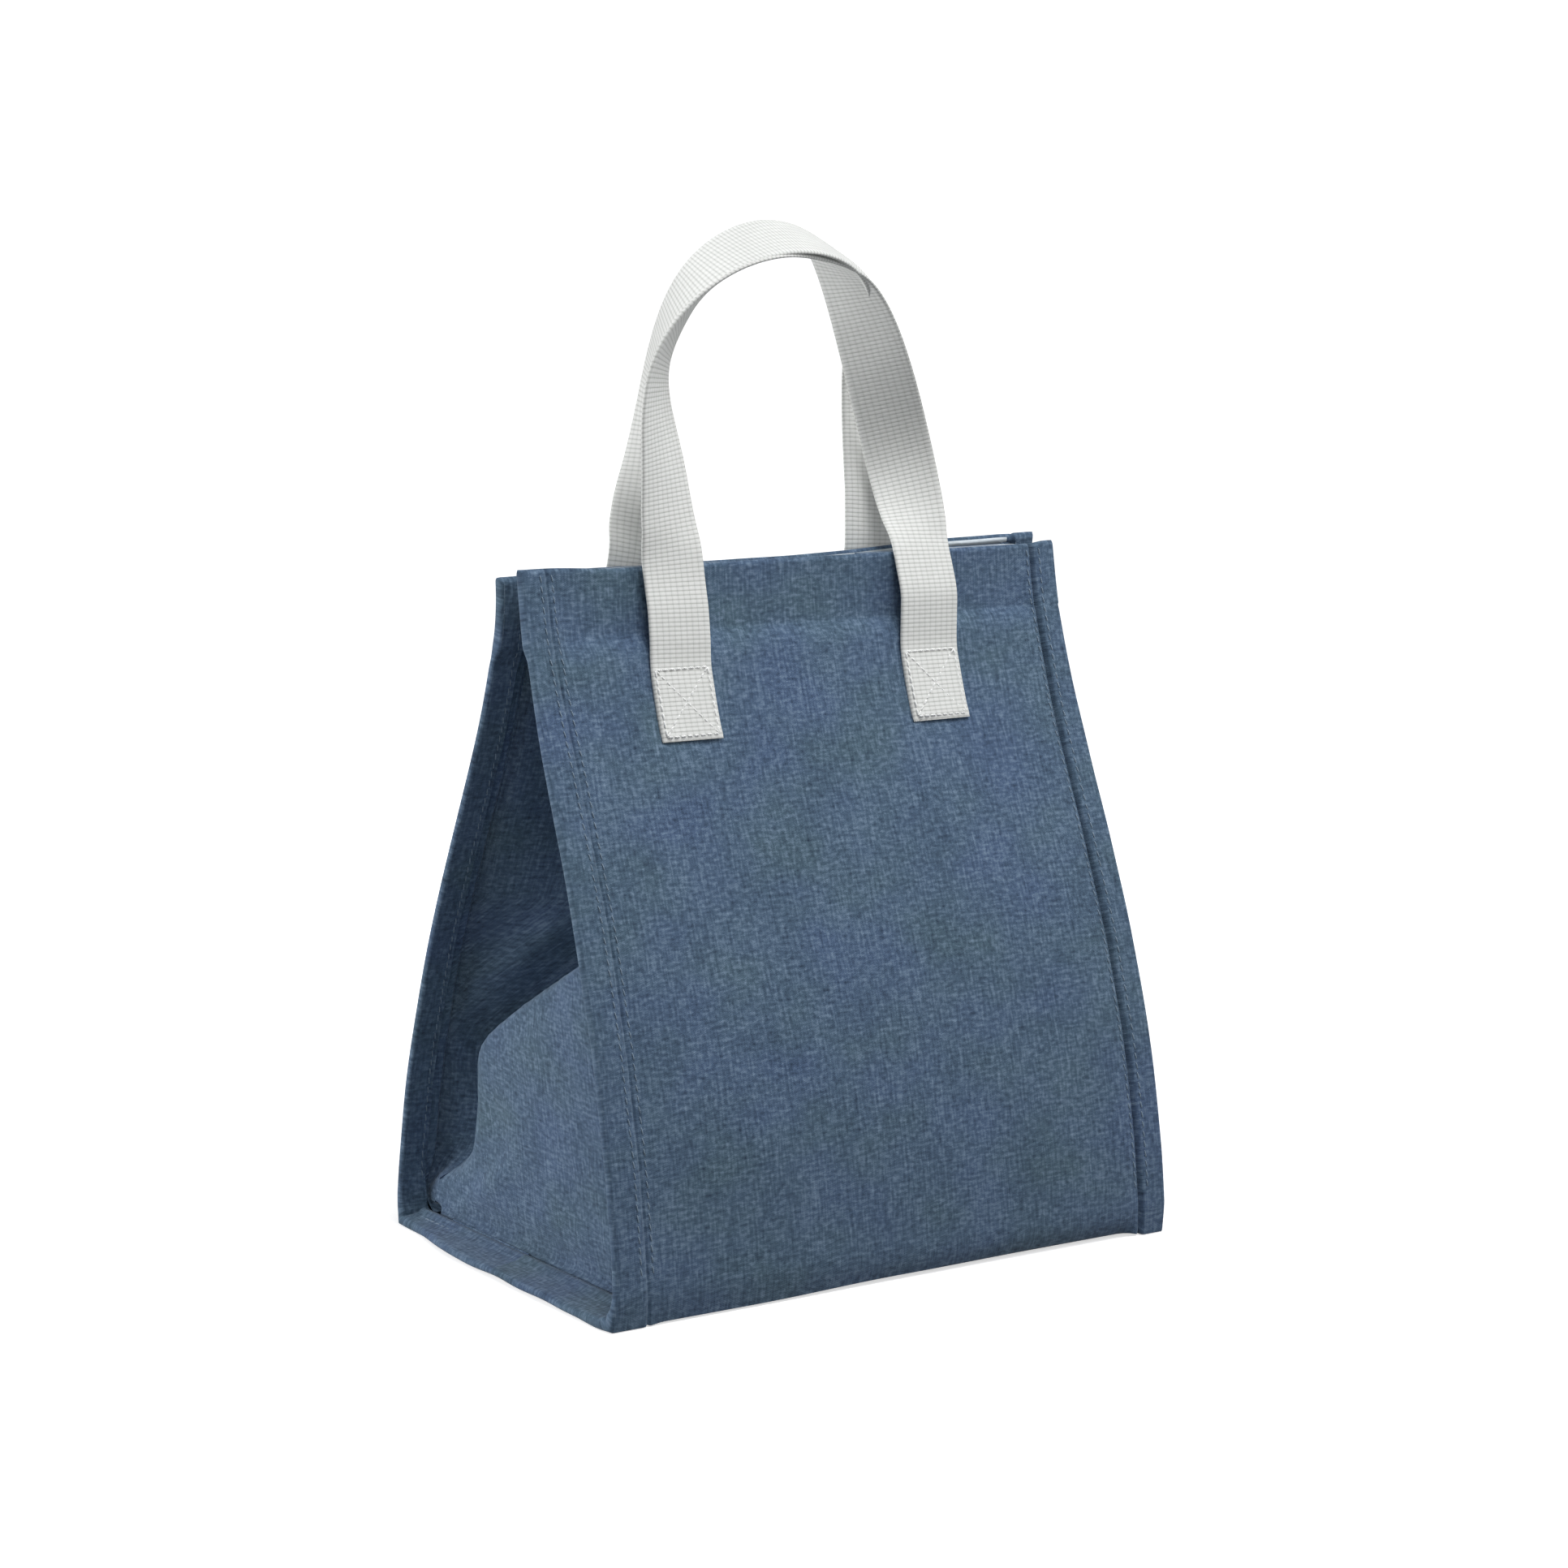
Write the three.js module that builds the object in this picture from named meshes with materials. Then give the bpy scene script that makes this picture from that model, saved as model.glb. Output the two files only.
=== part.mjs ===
import * as THREE from 'three';

// Insulated soft tote with folded side gussets and two webbing handles.
// Millimetres, +Z up. The origin is on the floor under the middle of the base, the front faces -Y.

// Bag body
const bagWidth = 260;
const finWidth = 11;
const baseHalfDepth = 88;
const mouthHalfDepth = 8.5;
const wallHeight = 278;
const foldHeight = 13;
const foldRadius = 10;

// Lean of a wall at its foot and at its rim, and how far each lean carries along the wall
const footLean = THREE.MathUtils.degToRad(6);
const footPull = 130;
const rimLean = THREE.MathUtils.degToRad(8);
const rimPull = 90;

// Layers
const fabricThickness = 1;
const foamThickness = 4;
const liningThickness = 0.6;
const boardThickness = 2.4;
const finThickness = 3;
const gussetThickness = 1.6;
const sidePanelThickness = 3;
const layerGap = 0.3;
const sewnGap = 0.5;

// Hem at the mouth, and the closing strips inside it
const hemHeight = 24.5;
const stripWidth = 60;
const stripHeight = 20;
const stripThickness = 1.2;
const stripDrop = 4;

// Side gussets. Each is flat at the bottom and folds inwards above a line that climbs from the back corner
// of the base to the front wall, given here as depths and heights
const foldLine = [
  [75, 8],
  [61, 35],
  [51, 60],
  [41, 82],
  [10, 103],
  [-15, 118],
  [-37, 130],
  [-54, 139],
];
const gussetTakeUp = 5;
const foldClearance = 1.5;
const flatShoulder = 118;
const flatTop = 129;
const frontHalfFoot = 132;
const backHalfFoot = 30;
const creaseFoot = 142;
const shelfFoot = 22;
const shelfTop = 122;
const shelfClearance = 2;
const backHingeHeight = 60;
const creaseGap = 0.4;
const creaseSlack = 5.5;

// Handles
const webbingWidth = 28;
const webbingThickness = 1.6;
const footSetIn = 70;
const backHandleShift = -7;
const archCentre = -3.5;
const handleRise = 129;
const nestOffset = 3;
const archFullness = 2.1;
const apexOffset = 2;
const stitchBottom = 210.5;
const stitchTop = 238.2;
const strapClearance = 0.4;
const hingeStandOff = 0.9;

// Box stitches on the handle feet
const stitchMargin = 1.5;
const threadWidth = 1.2;
const threadThickness = 0.5;

// Steps along curves
const wallSteps = 12;
const legSteps = 4;
const archSteps = 52;
const foldSteps = 8;
const gussetStepHeight = 18;

const panelHalfWidth = bagWidth / 2 - finWidth;
const innerHalfWidth = panelHalfWidth - fabricThickness - sidePanelThickness - 2 * layerGap;
const foamInset = fabricThickness + layerGap;
const liningInset = foamInset + foamThickness + layerGap;
const wallStack = liningInset + liningThickness;
const seamInset = wallStack + layerGap + gussetThickness / 2;
const gussetCloth = 2 * (baseHalfDepth - gussetTakeUp);
const footSpacing = bagWidth - 2 * footSetIn;
const wallStart = foldHeight + sewnGap;
const hemStart = wallHeight - hemHeight;

const fabric = new THREE.MeshStandardMaterial({ color: 0x53657a, roughness: 0.95, metalness: 0 });
const webbing = new THREE.MeshStandardMaterial({ color: 0xdcddd9, roughness: 0.8, metalness: 0 });
const thread = new THREE.MeshStandardMaterial({ color: 0xf1f1ee, roughness: 0.7, metalness: 0 });
const foam = new THREE.MeshStandardMaterial({ color: 0xe9eae7, roughness: 1, metalness: 0 });
const lining = new THREE.MeshStandardMaterial({ color: 0xb7bfc6, roughness: 0.35, metalness: 0.3 });
const board = new THREE.MeshStandardMaterial({ color: 0x9a978f, roughness: 0.9, metalness: 0 });
const strip = new THREE.MeshStandardMaterial({ color: 0x3d4a59, roughness: 1, metalness: 0 });

// The outer face of the front wall as a curve in the Y-Z plane, from the fold to the rim
const wallFoot = new THREE.Vector2(-baseHalfDepth, foldHeight);
const wallRim = new THREE.Vector2(-mouthHalfDepth, wallHeight);
const wallCurve = new THREE.CubicBezierCurve(
  wallFoot,
  new THREE.Vector2(Math.sin(footLean), Math.cos(footLean)).multiplyScalar(footPull).add(wallFoot),
  new THREE.Vector2(Math.sin(rimLean), Math.cos(rimLean)).multiplyScalar(-rimPull).add(wallRim),
  wallRim,
);

// The line of the gusset folds, in the same plane
const foldCurve = new THREE.SplineCurve(foldLine.map(([depth, height]) => new THREE.Vector2(depth, height)));
const foldTop = foldLine[foldLine.length - 1][1];

// How far along a climbing curve a height is reached
function shareAtHeight(curve, height) {
  let low = 0;
  let high = 1;
  for (let halving = 0; halving < 40; halving += 1) {
    const middle = (low + high) / 2;
    if (curve.getPoint(middle).y < height) {
      low = middle;
    } else {
      high = middle;
    }
  }
  return low;
}

// The place on the wall curve at a height, moved inwards along the wall's normal
function wallPoint(height, inset) {
  const share = shareAtHeight(wallCurve, height);
  const point = wallCurve.getPoint(share);
  const tangent = wallCurve.getTangent(share);
  return new THREE.Vector2(point.x + tangent.y * inset, point.y - tangent.x * inset);
}

// Turns a shape drawn with Y to the right and Z up into a solid that runs along X
function extrudeAcross(shape, left, right) {
  const geometry = new THREE.ExtrudeGeometry(shape, {
    depth: right - left,
    bevelEnabled: false,
    curveSegments: 8,
  });
  const yzx = new THREE.Matrix4().makeBasis(
    new THREE.Vector3(0, 1, 0),
    new THREE.Vector3(0, 0, 1),
    new THREE.Vector3(1, 0, 0),
  );
  geometry.applyMatrix4(yzx);
  geometry.translate(left, 0, 0);
  return geometry;
}

// A sheet that follows the front wall between two heights
function wallLayer(bottom, top, inset, thickness, left, right) {
  const outer = [];
  const inner = [];
  for (let step = 0; step <= wallSteps; step += 1) {
    const height = THREE.MathUtils.lerp(bottom, top, step / wallSteps);
    outer.push(wallPoint(height, inset));
    inner.unshift(wallPoint(height, inset + thickness));
  }
  return extrudeAcross(new THREE.Shape([...outer, ...inner]), left, right);
}

// A trough: a flat floor whose long edges turn up through rounded folds
function troughShape(halfDepth, floor, rim, radius, thickness) {
  const shape = new THREE.Shape();
  const centre = halfDepth - radius;
  const inner = radius - thickness;
  shape.moveTo(-halfDepth, rim);
  shape.lineTo(-halfDepth, floor + radius);
  shape.absarc(-centre, floor + radius, radius, Math.PI, 1.5 * Math.PI, false);
  shape.absarc(centre, floor + radius, radius, 1.5 * Math.PI, 2 * Math.PI, false);
  shape.lineTo(halfDepth, rim);
  shape.lineTo(halfDepth - thickness, rim);
  shape.absarc(centre, floor + radius, inner, 2 * Math.PI, 1.5 * Math.PI, true);
  shape.absarc(-centre, floor + radius, inner, 1.5 * Math.PI, Math.PI, true);
  shape.lineTo(-halfDepth + thickness, rim);
  return shape;
}

function slab(halfWidth, halfDepth, floor, thickness) {
  const geometry = new THREE.BoxGeometry(2 * halfWidth, 2 * halfDepth, thickness);
  geometry.translate(0, 0, floor + thickness / 2);
  return geometry;
}

// Joins rings of points into one closed solid with its faces pointing out. The two faces of a twisted
// sheet are split along the same diagonal, so that the sheet keeps its thickness
function loft(rings) {
  const count = rings[0].length;
  const points = rings.flat();
  const faces = [];
  for (let ring = 0; ring + 1 < rings.length; ring += 1) {
    for (let side = 0; side < count; side += 1) {
      const a = ring * count + side;
      const b = ring * count + ((side + 1) % count);
      if (side < count / 2) {
        faces.push([a, b, b + count], [a, b + count, a + count]);
      } else {
        faces.push([a, b, a + count], [b, b + count, a + count]);
      }
    }
  }
  const last = points.length - count;
  for (let side = 1; side + 1 < count; side += 1) {
    faces.push([0, side + 1, side], [last, last + side, last + side + 1]);
  }
  const volume = faces.reduce(
    (sum, [a, b, c]) => sum + points[a].dot(new THREE.Vector3().crossVectors(points[b], points[c])),
    0,
  );
  const outward = volume > 0 ? faces : faces.map(([a, b, c]) => [a, c, b]);
  const geometry = new THREE.BufferGeometry().setFromPoints(points);
  geometry.setIndex(outward.flat());
  return geometry;
}

// Adds a piece, drawn in the bag's own frame, to a group that stands at the origin given
function addPiece(group, origin, name, geometry, material) {
  geometry.translate(-origin.x, -origin.y, -origin.z);
  const mesh = new THREE.Mesh(geometry, material);
  mesh.name = name;
  group.add(mesh);
}

// The flat lower part of a gusset, which stops just short of the fold line
function sidePanelShape() {
  const edgeInset = fabricThickness + layerGap;
  const low = wallPoint(wallStart, edgeInset);
  const shoulder = wallPoint(flatShoulder, edgeInset);
  const shape = new THREE.Shape();
  shape.moveTo(-baseHalfDepth + foldRadius, edgeInset);
  shape.lineTo(baseHalfDepth - foldRadius, edgeInset);
  shape.quadraticCurveTo(-low.x, edgeInset, -low.x, low.y);
  const foldStart = shareAtHeight(foldCurve, shelfFoot);
  const foldEnd = shareAtHeight(foldCurve, flatTop);
  for (let step = 0; step <= foldSteps; step += 1) {
    const share = THREE.MathUtils.lerp(foldStart, foldEnd, step / foldSteps);
    const place = foldCurve.getPoint(share);
    const tangent = foldCurve.getTangent(share);
    shape.lineTo(place.x - tangent.y * foldClearance, place.y + tangent.x * foldClearance);
  }
  shape.lineTo(shoulder.x, shoulder.y);
  shape.lineTo(low.x, low.y);
  shape.quadraticCurveTo(low.x, edgeInset, -baseHalfDepth + foldRadius, edgeInset);
  return shape;
}

function buildBase() {
  const group = new THREE.Group();
  const origin = new THREE.Vector3();
  const halfLength = bagWidth / 2;
  const rim = foldHeight - layerGap / 2;
  const shell = troughShape(baseHalfDepth, 0, rim, foldRadius, fabricThickness);
  addPiece(group, origin, 'base_shell', extrudeAcross(shell, -panelHalfWidth, panelHalfWidth), fabric);

  const foamHalfDepth = baseHalfDepth - foldRadius;
  const boardFloor = foamInset + foamThickness + layerGap;
  const linerFloor = boardFloor + boardThickness + layerGap;
  const linerHalfDepth = baseHalfDepth - liningInset;
  const linerRadius = rim - linerFloor - layerGap;
  const liner = troughShape(linerHalfDepth, linerFloor, rim, linerRadius, liningThickness);
  addPiece(group, origin, 'base_foam', slab(innerHalfWidth, foamHalfDepth, foamInset, foamThickness), foam);
  addPiece(group, origin, 'base_board', slab(innerHalfWidth, foamHalfDepth, boardFloor, boardThickness), board);
  addPiece(group, origin, 'base_lining', extrudeAcross(liner, -innerHalfWidth, innerHalfWidth), lining);

  const fin = troughShape(baseHalfDepth, 0, rim, foldRadius, finThickness);
  const side = sidePanelShape();
  for (const [label, sign] of [['left', -1], ['right', 1]]) {
    const inner = sign * (panelHalfWidth + layerGap);
    const outer = sign * halfLength;
    const finSolid = extrudeAcross(fin, Math.min(inner, outer), Math.max(inner, outer));
    addPiece(group, origin, `base_fin_${label}`, finSolid, fabric);

    const panelOuter = sign * (panelHalfWidth - layerGap);
    const panelInner = panelOuter - sign * sidePanelThickness;
    const panelSolid = extrudeAcross(side, Math.min(panelInner, panelOuter), Math.max(panelInner, panelOuter));
    addPiece(group, origin, `gusset_lower_${label}`, panelSolid, fabric);
    addPiece(group, origin, `gusset_shelf_${label}`, foldShelf(sign), fabric);
  }
  return group;
}

// Where the fold of a gusset lies at a height: the depth of its fold line, and how far in and at what depth
// its crease lies. The cloth keeps its width: what the flat part doesn't use goes into the two legs of the fold
function foldPlace(height) {
  const seam = -wallPoint(height, seamInset).x;
  const line = height < foldTop ? foldCurve.getPoint(shareAtHeight(foldCurve, height)).x : -seam;
  const halfSpan = (seam - Math.max(line, -seam)) / 2;
  const leg = Math.max(halfSpan, gussetCloth / 2 - seam + halfSpan);
  return { line, reach: Math.sqrt(leg ** 2 - halfSpan ** 2), depth: seam - halfSpan };
}

// The plan of an upright sheet of gusset cloth that runs from one point to another
function sheetSection(from, to) {
  const normal = new THREE.Vector3(from.y - to.y, to.x - from.x, 0).setLength(gussetThickness / 2);
  return [from.clone().add(normal), to.clone().add(normal), to.clone().sub(normal), from.clone().sub(normal)];
}

// The plan of one half of a fold, from its seam to its crease, drawn at the front left. A half of the back
// wall is drawn turned half round, so its lay is -1
function gussetSection(seamHeight, creaseHeight, lay, halfGap) {
  const seamPlace = wallPoint(seamHeight, seamInset);
  const place = foldPlace(creaseHeight);
  const seam = new THREE.Vector3(-panelHalfWidth + layerGap, seamPlace.x, seamPlace.y);
  const creaseDepth = lay * place.depth - halfGap - gussetThickness / 2;
  return sheetSection(seam, new THREE.Vector3(seam.x + place.reach, creaseDepth, creaseHeight));
}

// Joins the sections of a sheet, drawn on the left, into a solid on the side asked for
function sheetOnSide(sign, sections) {
  sections.flat().forEach((point) => point.setX(-sign * point.x));
  return loft(sections);
}

// The leg of a fold between the fold line and the crease, which stays with the flat part
function foldShelf(sign) {
  const steps = Math.ceil((shelfTop - shelfFoot) / gussetStepHeight);
  const sections = [];
  for (let step = 0; step <= steps; step += 1) {
    const height = THREE.MathUtils.lerp(shelfFoot, shelfTop, step / steps);
    const place = foldPlace(height);
    const line = new THREE.Vector3(-panelHalfWidth + layerGap + gussetThickness / 2, place.line, height);
    const crease = new THREE.Vector3(line.x + place.reach, place.depth, height);
    const back = line.clone().sub(crease).setLength(shelfClearance);
    sections.push(sheetSection(line, crease.add(back)));
  }
  return sheetOnSide(sign, sections);
}

function gussetHalf(sign, lay) {
  const top = wallHeight - layerGap;
  const seamBottom = lay > 0 ? frontHalfFoot : backHalfFoot;
  const creaseBottom = lay > 0 ? creaseFoot : backHalfFoot;
  const steps = Math.ceil((top - seamBottom) / gussetStepHeight);
  const sections = [];
  for (let step = 0; step <= steps; step += 1) {
    const share = step / steps;
    const seamHeight = THREE.MathUtils.lerp(seamBottom, top, share);
    const creaseHeight = THREE.MathUtils.lerp(creaseBottom, top, share);
    const slack = creaseSlack * Math.min(1, (top - creaseHeight) / (top - creaseFoot));
    sections.push(gussetSection(seamHeight, creaseHeight, lay, creaseGap + slack));
  }
  return sheetOnSide(sign, sections);
}

// A square of thread with a cross in it, lying in the X-Y plane
function boxStitchGeometry(side) {
  const half = side / 2;
  const shape = new THREE.Shape([
    new THREE.Vector2(-half, -half),
    new THREE.Vector2(half, -half),
    new THREE.Vector2(half, half),
    new THREE.Vector2(-half, half),
  ]);
  const inner = half - threadWidth;
  const notch = threadWidth * Math.SQRT1_2;
  for (let quarter = 0; quarter < 4; quarter += 1) {
    const corners = [
      new THREE.Vector2(-inner + notch, inner),
      new THREE.Vector2(0, notch),
      new THREE.Vector2(inner - notch, inner),
    ];
    corners.forEach((corner) => corner.rotateAround(new THREE.Vector2(), (quarter * Math.PI) / 2));
    shape.holes.push(new THREE.Path(corners));
  }
  return new THREE.ExtrudeGeometry(shape, { depth: threadThickness, bevelEnabled: false });
}

// The route of a handle above its stitched feet, as centre points and the twist at each
function handleRoute(shift, nest, centre) {
  const route = [];
  const half = footSpacing / 2;
  const strapInset = -strapClearance - webbingThickness / 2;
  const legs = [];
  for (let step = 0; step < legSteps; step += 1) {
    const height = THREE.MathUtils.lerp(stitchTop + sewnGap, wallHeight, step / legSteps);
    legs.push(wallPoint(height, strapInset));
  }
  const rim = wallPoint(wallHeight, strapInset);
  legs.forEach((leg) => route.push({ place: new THREE.Vector3(shift - half, leg.x, leg.y), twist: 0 }));
  for (let step = 0; step <= archSteps; step += 1) {
    const angle = Math.PI * (1 - step / archSteps);
    const climb = Math.abs(Math.sin(angle)) ** (2 / archFullness);
    const across = Math.sign(Math.cos(angle)) * Math.abs(Math.cos(angle)) ** (2 / archFullness);
    const lean = THREE.MathUtils.smoothstep(climb, 0, 0.5);
    const place = new THREE.Vector3(
      THREE.MathUtils.lerp(shift, centre, lean) + across * (half + nest * lean),
      THREE.MathUtils.lerp(rim.x, -apexOffset, THREE.MathUtils.smoothstep(climb, 0.75, 1)),
      rim.y + climb * (handleRise + nest),
    );
    route.push({ place, twist: (THREE.MathUtils.smoothstep(climb, 0.2, 0.9) * Math.PI) / 2 });
  }
  legs.reverse();
  legs.forEach((leg) => route.push({ place: new THREE.Vector3(shift + half, leg.x, leg.y), twist: 0 }));
  return route;
}

// A ribbon of webbing whose flat side turns from facing the wall to lying level at the top
function handleStrap(shift, nest, centre) {
  const route = handleRoute(shift, nest, centre);
  const rings = route.map(({ place, twist }, index) => {
    const before = route[Math.max(0, index - 1)].place;
    const after = route[Math.min(route.length - 1, index + 1)].place;
    const along = after.clone().sub(before).normalize();
    const level = new THREE.Vector3(0, 1, 0).addScaledVector(along, -along.y).normalize();
    const outwards = new THREE.Vector3().crossVectors(along, level);
    const wide = outwards.clone().multiplyScalar(-Math.cos(twist)).addScaledVector(level, Math.sin(twist));
    const thick = new THREE.Vector3().crossVectors(wide, along).setLength(webbingThickness / 2);
    wide.setLength(webbingWidth / 2);
    return [
      place.clone().add(wide).add(thick),
      place.clone().sub(wide).add(thick),
      place.clone().sub(wide).sub(thick),
      place.clone().add(wide).sub(thick),
    ];
  });
  return loft(rings);
}

// One wall with all that is sewn to it, drawn as the front wall. The lay is 1 for the front and -1 for the back
function buildWall(prefix, labels, lay, shift, centre) {
  const hinge = new THREE.Vector3(0, -baseHalfDepth, foldHeight);
  const wall = new THREE.Group();
  wall.name = `${prefix}_wall`;
  wall.position.copy(hinge);
  const outerPanel = wallLayer(wallStart, wallHeight, 0, fabricThickness, -panelHalfWidth, panelHalfWidth);
  addPiece(wall, hinge, `${prefix}_panel`, outerPanel, fabric);
  const foamBottom = wallStart + foamThickness;
  const innerTop = hemStart - sewnGap;
  const foamSheet = wallLayer(foamBottom, innerTop, foamInset, foamThickness, -innerHalfWidth, innerHalfWidth);
  addPiece(wall, hinge, `${prefix}_foam`, foamSheet, foam);
  const liner = wallLayer(wallStart, innerTop, liningInset, liningThickness, -innerHalfWidth, innerHalfWidth);
  addPiece(wall, hinge, `${prefix}_lining`, liner, lining);
  const rimTop = wallHeight - layerGap;
  const facing = wallLayer(hemStart, rimTop, foamInset, fabricThickness, -innerHalfWidth, innerHalfWidth);
  addPiece(wall, hinge, `${prefix}_hem_facing`, facing, fabric);
  const stripInset = foamInset + fabricThickness + layerGap;
  const stripTop = wallHeight - stripDrop;
  const closing = wallLayer(stripTop - stripHeight, stripTop, stripInset, stripThickness, -stripWidth / 2, stripWidth / 2);
  addPiece(wall, hinge, `${prefix}_closure_strip`, closing, strip);

  const footInset = -layerGap - webbingThickness;
  const slope = wallPoint(stitchTop, 0).sub(wallPoint(stitchBottom, 0));
  const tilt = Math.atan2(slope.x, slope.y);
  const faceMiddle = wallPoint((stitchBottom + stitchTop) / 2, footInset - layerGap - threadThickness);
  labels.forEach((label, index) => {
    const sign = index === 0 ? -1 : 1;
    const finEdges = [sign * (panelHalfWidth + layerGap), (sign * bagWidth) / 2].sort((a, b) => a - b);
    const fin = wallLayer(wallStart, wallHeight, 0, finThickness, finEdges[0], finEdges[1]);
    addPiece(wall, hinge, `${prefix}_fin_${label}`, fin, fabric);

    const middle = shift + (sign * footSpacing) / 2;
    const footEdges = [middle - webbingWidth / 2, middle + webbingWidth / 2];
    const foot = wallLayer(stitchBottom, stitchTop, footInset, webbingThickness, footEdges[0], footEdges[1]);
    addPiece(wall, hinge, `${prefix}_foot_${label}`, foot, webbing);

    const stitch = boxStitchGeometry(slope.length() - 2 * stitchMargin);
    stitch.rotateX(Math.PI / 2 - tilt);
    stitch.translate(middle, faceMiddle.x + threadThickness, faceMiddle.y);
    addPiece(wall, hinge, `${prefix}_box_stitch_${label}`, stitch, thread);

    const seamHinge = wallPoint(lay > 0 ? frontHalfFoot : backHingeHeight, seamInset);
    const seamOrigin = new THREE.Vector3(sign * (panelHalfWidth - layerGap), seamHinge.x, seamHinge.y);
    const fold = new THREE.Group();
    fold.name = `${prefix}_gusset_${label}_fold`;
    fold.position.copy(seamOrigin).sub(hinge);
    addPiece(fold, seamOrigin, `gusset_${prefix}_${label}`, gussetHalf(sign, lay), fabric);
    wall.add(fold);
  });

  const pivotPlace = wallPoint(stitchTop, footInset - hingeStandOff);
  const pivot = new THREE.Vector3(0, pivotPlace.x, pivotPlace.y);
  const handle = new THREE.Group();
  handle.name = `${prefix}_handle_pivot`;
  handle.position.copy(pivot).sub(hinge);
  addPiece(handle, pivot, `${prefix}_handle`, handleStrap(shift, -lay * nestOffset, centre), webbing);
  wall.add(handle);
  return wall;
}

const bag = new THREE.Group();
bag.name = 'cooler_bag';
bag.add(buildBase());
bag.add(buildWall('front', ['left', 'right'], 1, 0, archCentre));

// The back wall is the same wall turned half round, so its left and right change places
const back = buildWall('back', ['right', 'left'], -1, -backHandleShift, -archCentre);
back.position.y = baseHalfDepth;
back.rotation.z = Math.PI;
bag.add(back);

export default bag;
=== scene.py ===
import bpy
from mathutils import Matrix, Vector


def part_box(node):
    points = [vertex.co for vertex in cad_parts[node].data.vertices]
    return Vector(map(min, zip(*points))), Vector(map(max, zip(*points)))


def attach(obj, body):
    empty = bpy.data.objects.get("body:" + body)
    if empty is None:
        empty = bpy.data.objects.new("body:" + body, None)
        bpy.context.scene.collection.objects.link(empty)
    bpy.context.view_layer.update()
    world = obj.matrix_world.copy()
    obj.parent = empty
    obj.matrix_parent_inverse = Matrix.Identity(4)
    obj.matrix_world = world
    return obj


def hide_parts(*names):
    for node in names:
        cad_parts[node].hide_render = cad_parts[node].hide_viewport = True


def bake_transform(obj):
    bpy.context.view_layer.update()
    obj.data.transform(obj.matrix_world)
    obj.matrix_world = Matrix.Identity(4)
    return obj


bl_info = {
    "name": "Folded Cooler Bag",
    "version": (1, 0, 0),
    "blender": (4, 5, 0),
    "location": "View3D > Sidebar > Bag",
    "description": "Dresses the frame of an insulated tote in cloth, webbing, lining and stitches",
    "category": "Add Mesh",
}

import math

import bpy
import numpy as np
from mathutils import Matrix

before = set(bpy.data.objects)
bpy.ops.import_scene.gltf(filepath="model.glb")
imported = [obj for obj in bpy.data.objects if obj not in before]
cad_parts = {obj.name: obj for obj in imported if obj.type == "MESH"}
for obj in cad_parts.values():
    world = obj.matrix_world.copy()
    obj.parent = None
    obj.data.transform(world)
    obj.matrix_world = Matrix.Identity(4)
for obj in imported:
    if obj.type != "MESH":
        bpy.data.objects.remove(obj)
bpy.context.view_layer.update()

MM = 0.001
FRONT, BACK = -1, 1
LEFT, RIGHT = -1, 1
WALL_NAMES = {FRONT: "front", BACK: "back"}
SIDE_NAMES = {LEFT: "left", RIGHT: "right"}


# Sizes and colours that a user may change

def length_setting(name, description, default):
    return bpy.props.FloatProperty(
        name=name, description=description, default=default, unit="LENGTH", precision=5
    )


def linear_share(channel):
    """The light of a screen colour's channel, which runs from 0 to 255."""
    share = channel / 255
    return share / 12.92 if share <= 0.04045 else ((share + 0.055) / 1.055) ** 2.4


def colour_setting(name, description, *screen):
    """A colour given as it looks on a screen."""
    linear = [linear_share(channel) for channel in screen]
    return bpy.props.FloatVectorProperty(
        name=name, description=description, default=linear, subtype="COLOR", size=3, min=0, max=1
    )


edge_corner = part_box("base_fin_right")[1]
wall_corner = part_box("front_panel")[1]
base_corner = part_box("base_shell")[1]


class BagSizes(bpy.types.PropertyGroup):
    half_width: length_setting("Half width", "Middle of the bag to the edge of a seam", edge_corner.x)
    seam: length_setting("Seam", "Middle of the bag to the side seam", wall_corner.x)
    half_depth: length_setting("Half depth", "Middle of the base to its front", base_corner.y)
    rim_height: length_setting("Rim height", "Floor to the rim of the mouth", wall_corner.z)
    mouth_half_depth: length_setting("Mouth half depth", "Middle of the mouth to a wall", 8.5 * MM)
    fold_height: length_setting("Fold height", "Height where the base has turned upright", 13 * MM)
    fold_radius: length_setting("Fold radius", "Rounding between the base and a wall", 10 * MM)
    hem_height: length_setting("Hem height", "Height of the doubled cloth at the mouth", 24.5 * MM)
    cloth: length_setting("Cloth", "Thickness of the outer cloth", 1 * MM)
    seam_edge: length_setting("Seam edge", "Thickness of the sewn edge outside a side seam", 3 * MM)
    webbing_width: length_setting("Webbing width", "Width of the handles", 28 * MM)
    webbing: length_setting("Webbing thickness", "Thickness of the handles", 1.6 * MM)
    foot_low: length_setting("Foot of a handle", "Height of the sewn end of a handle", 210.5 * MM)
    foot_high: length_setting("Top of the box stitch", "Height where a handle comes free", 238.2 * MM)
    gusset_cloth: length_setting("Gusset cloth", "Width of the cloth of a side gusset", 166 * MM)


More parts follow.
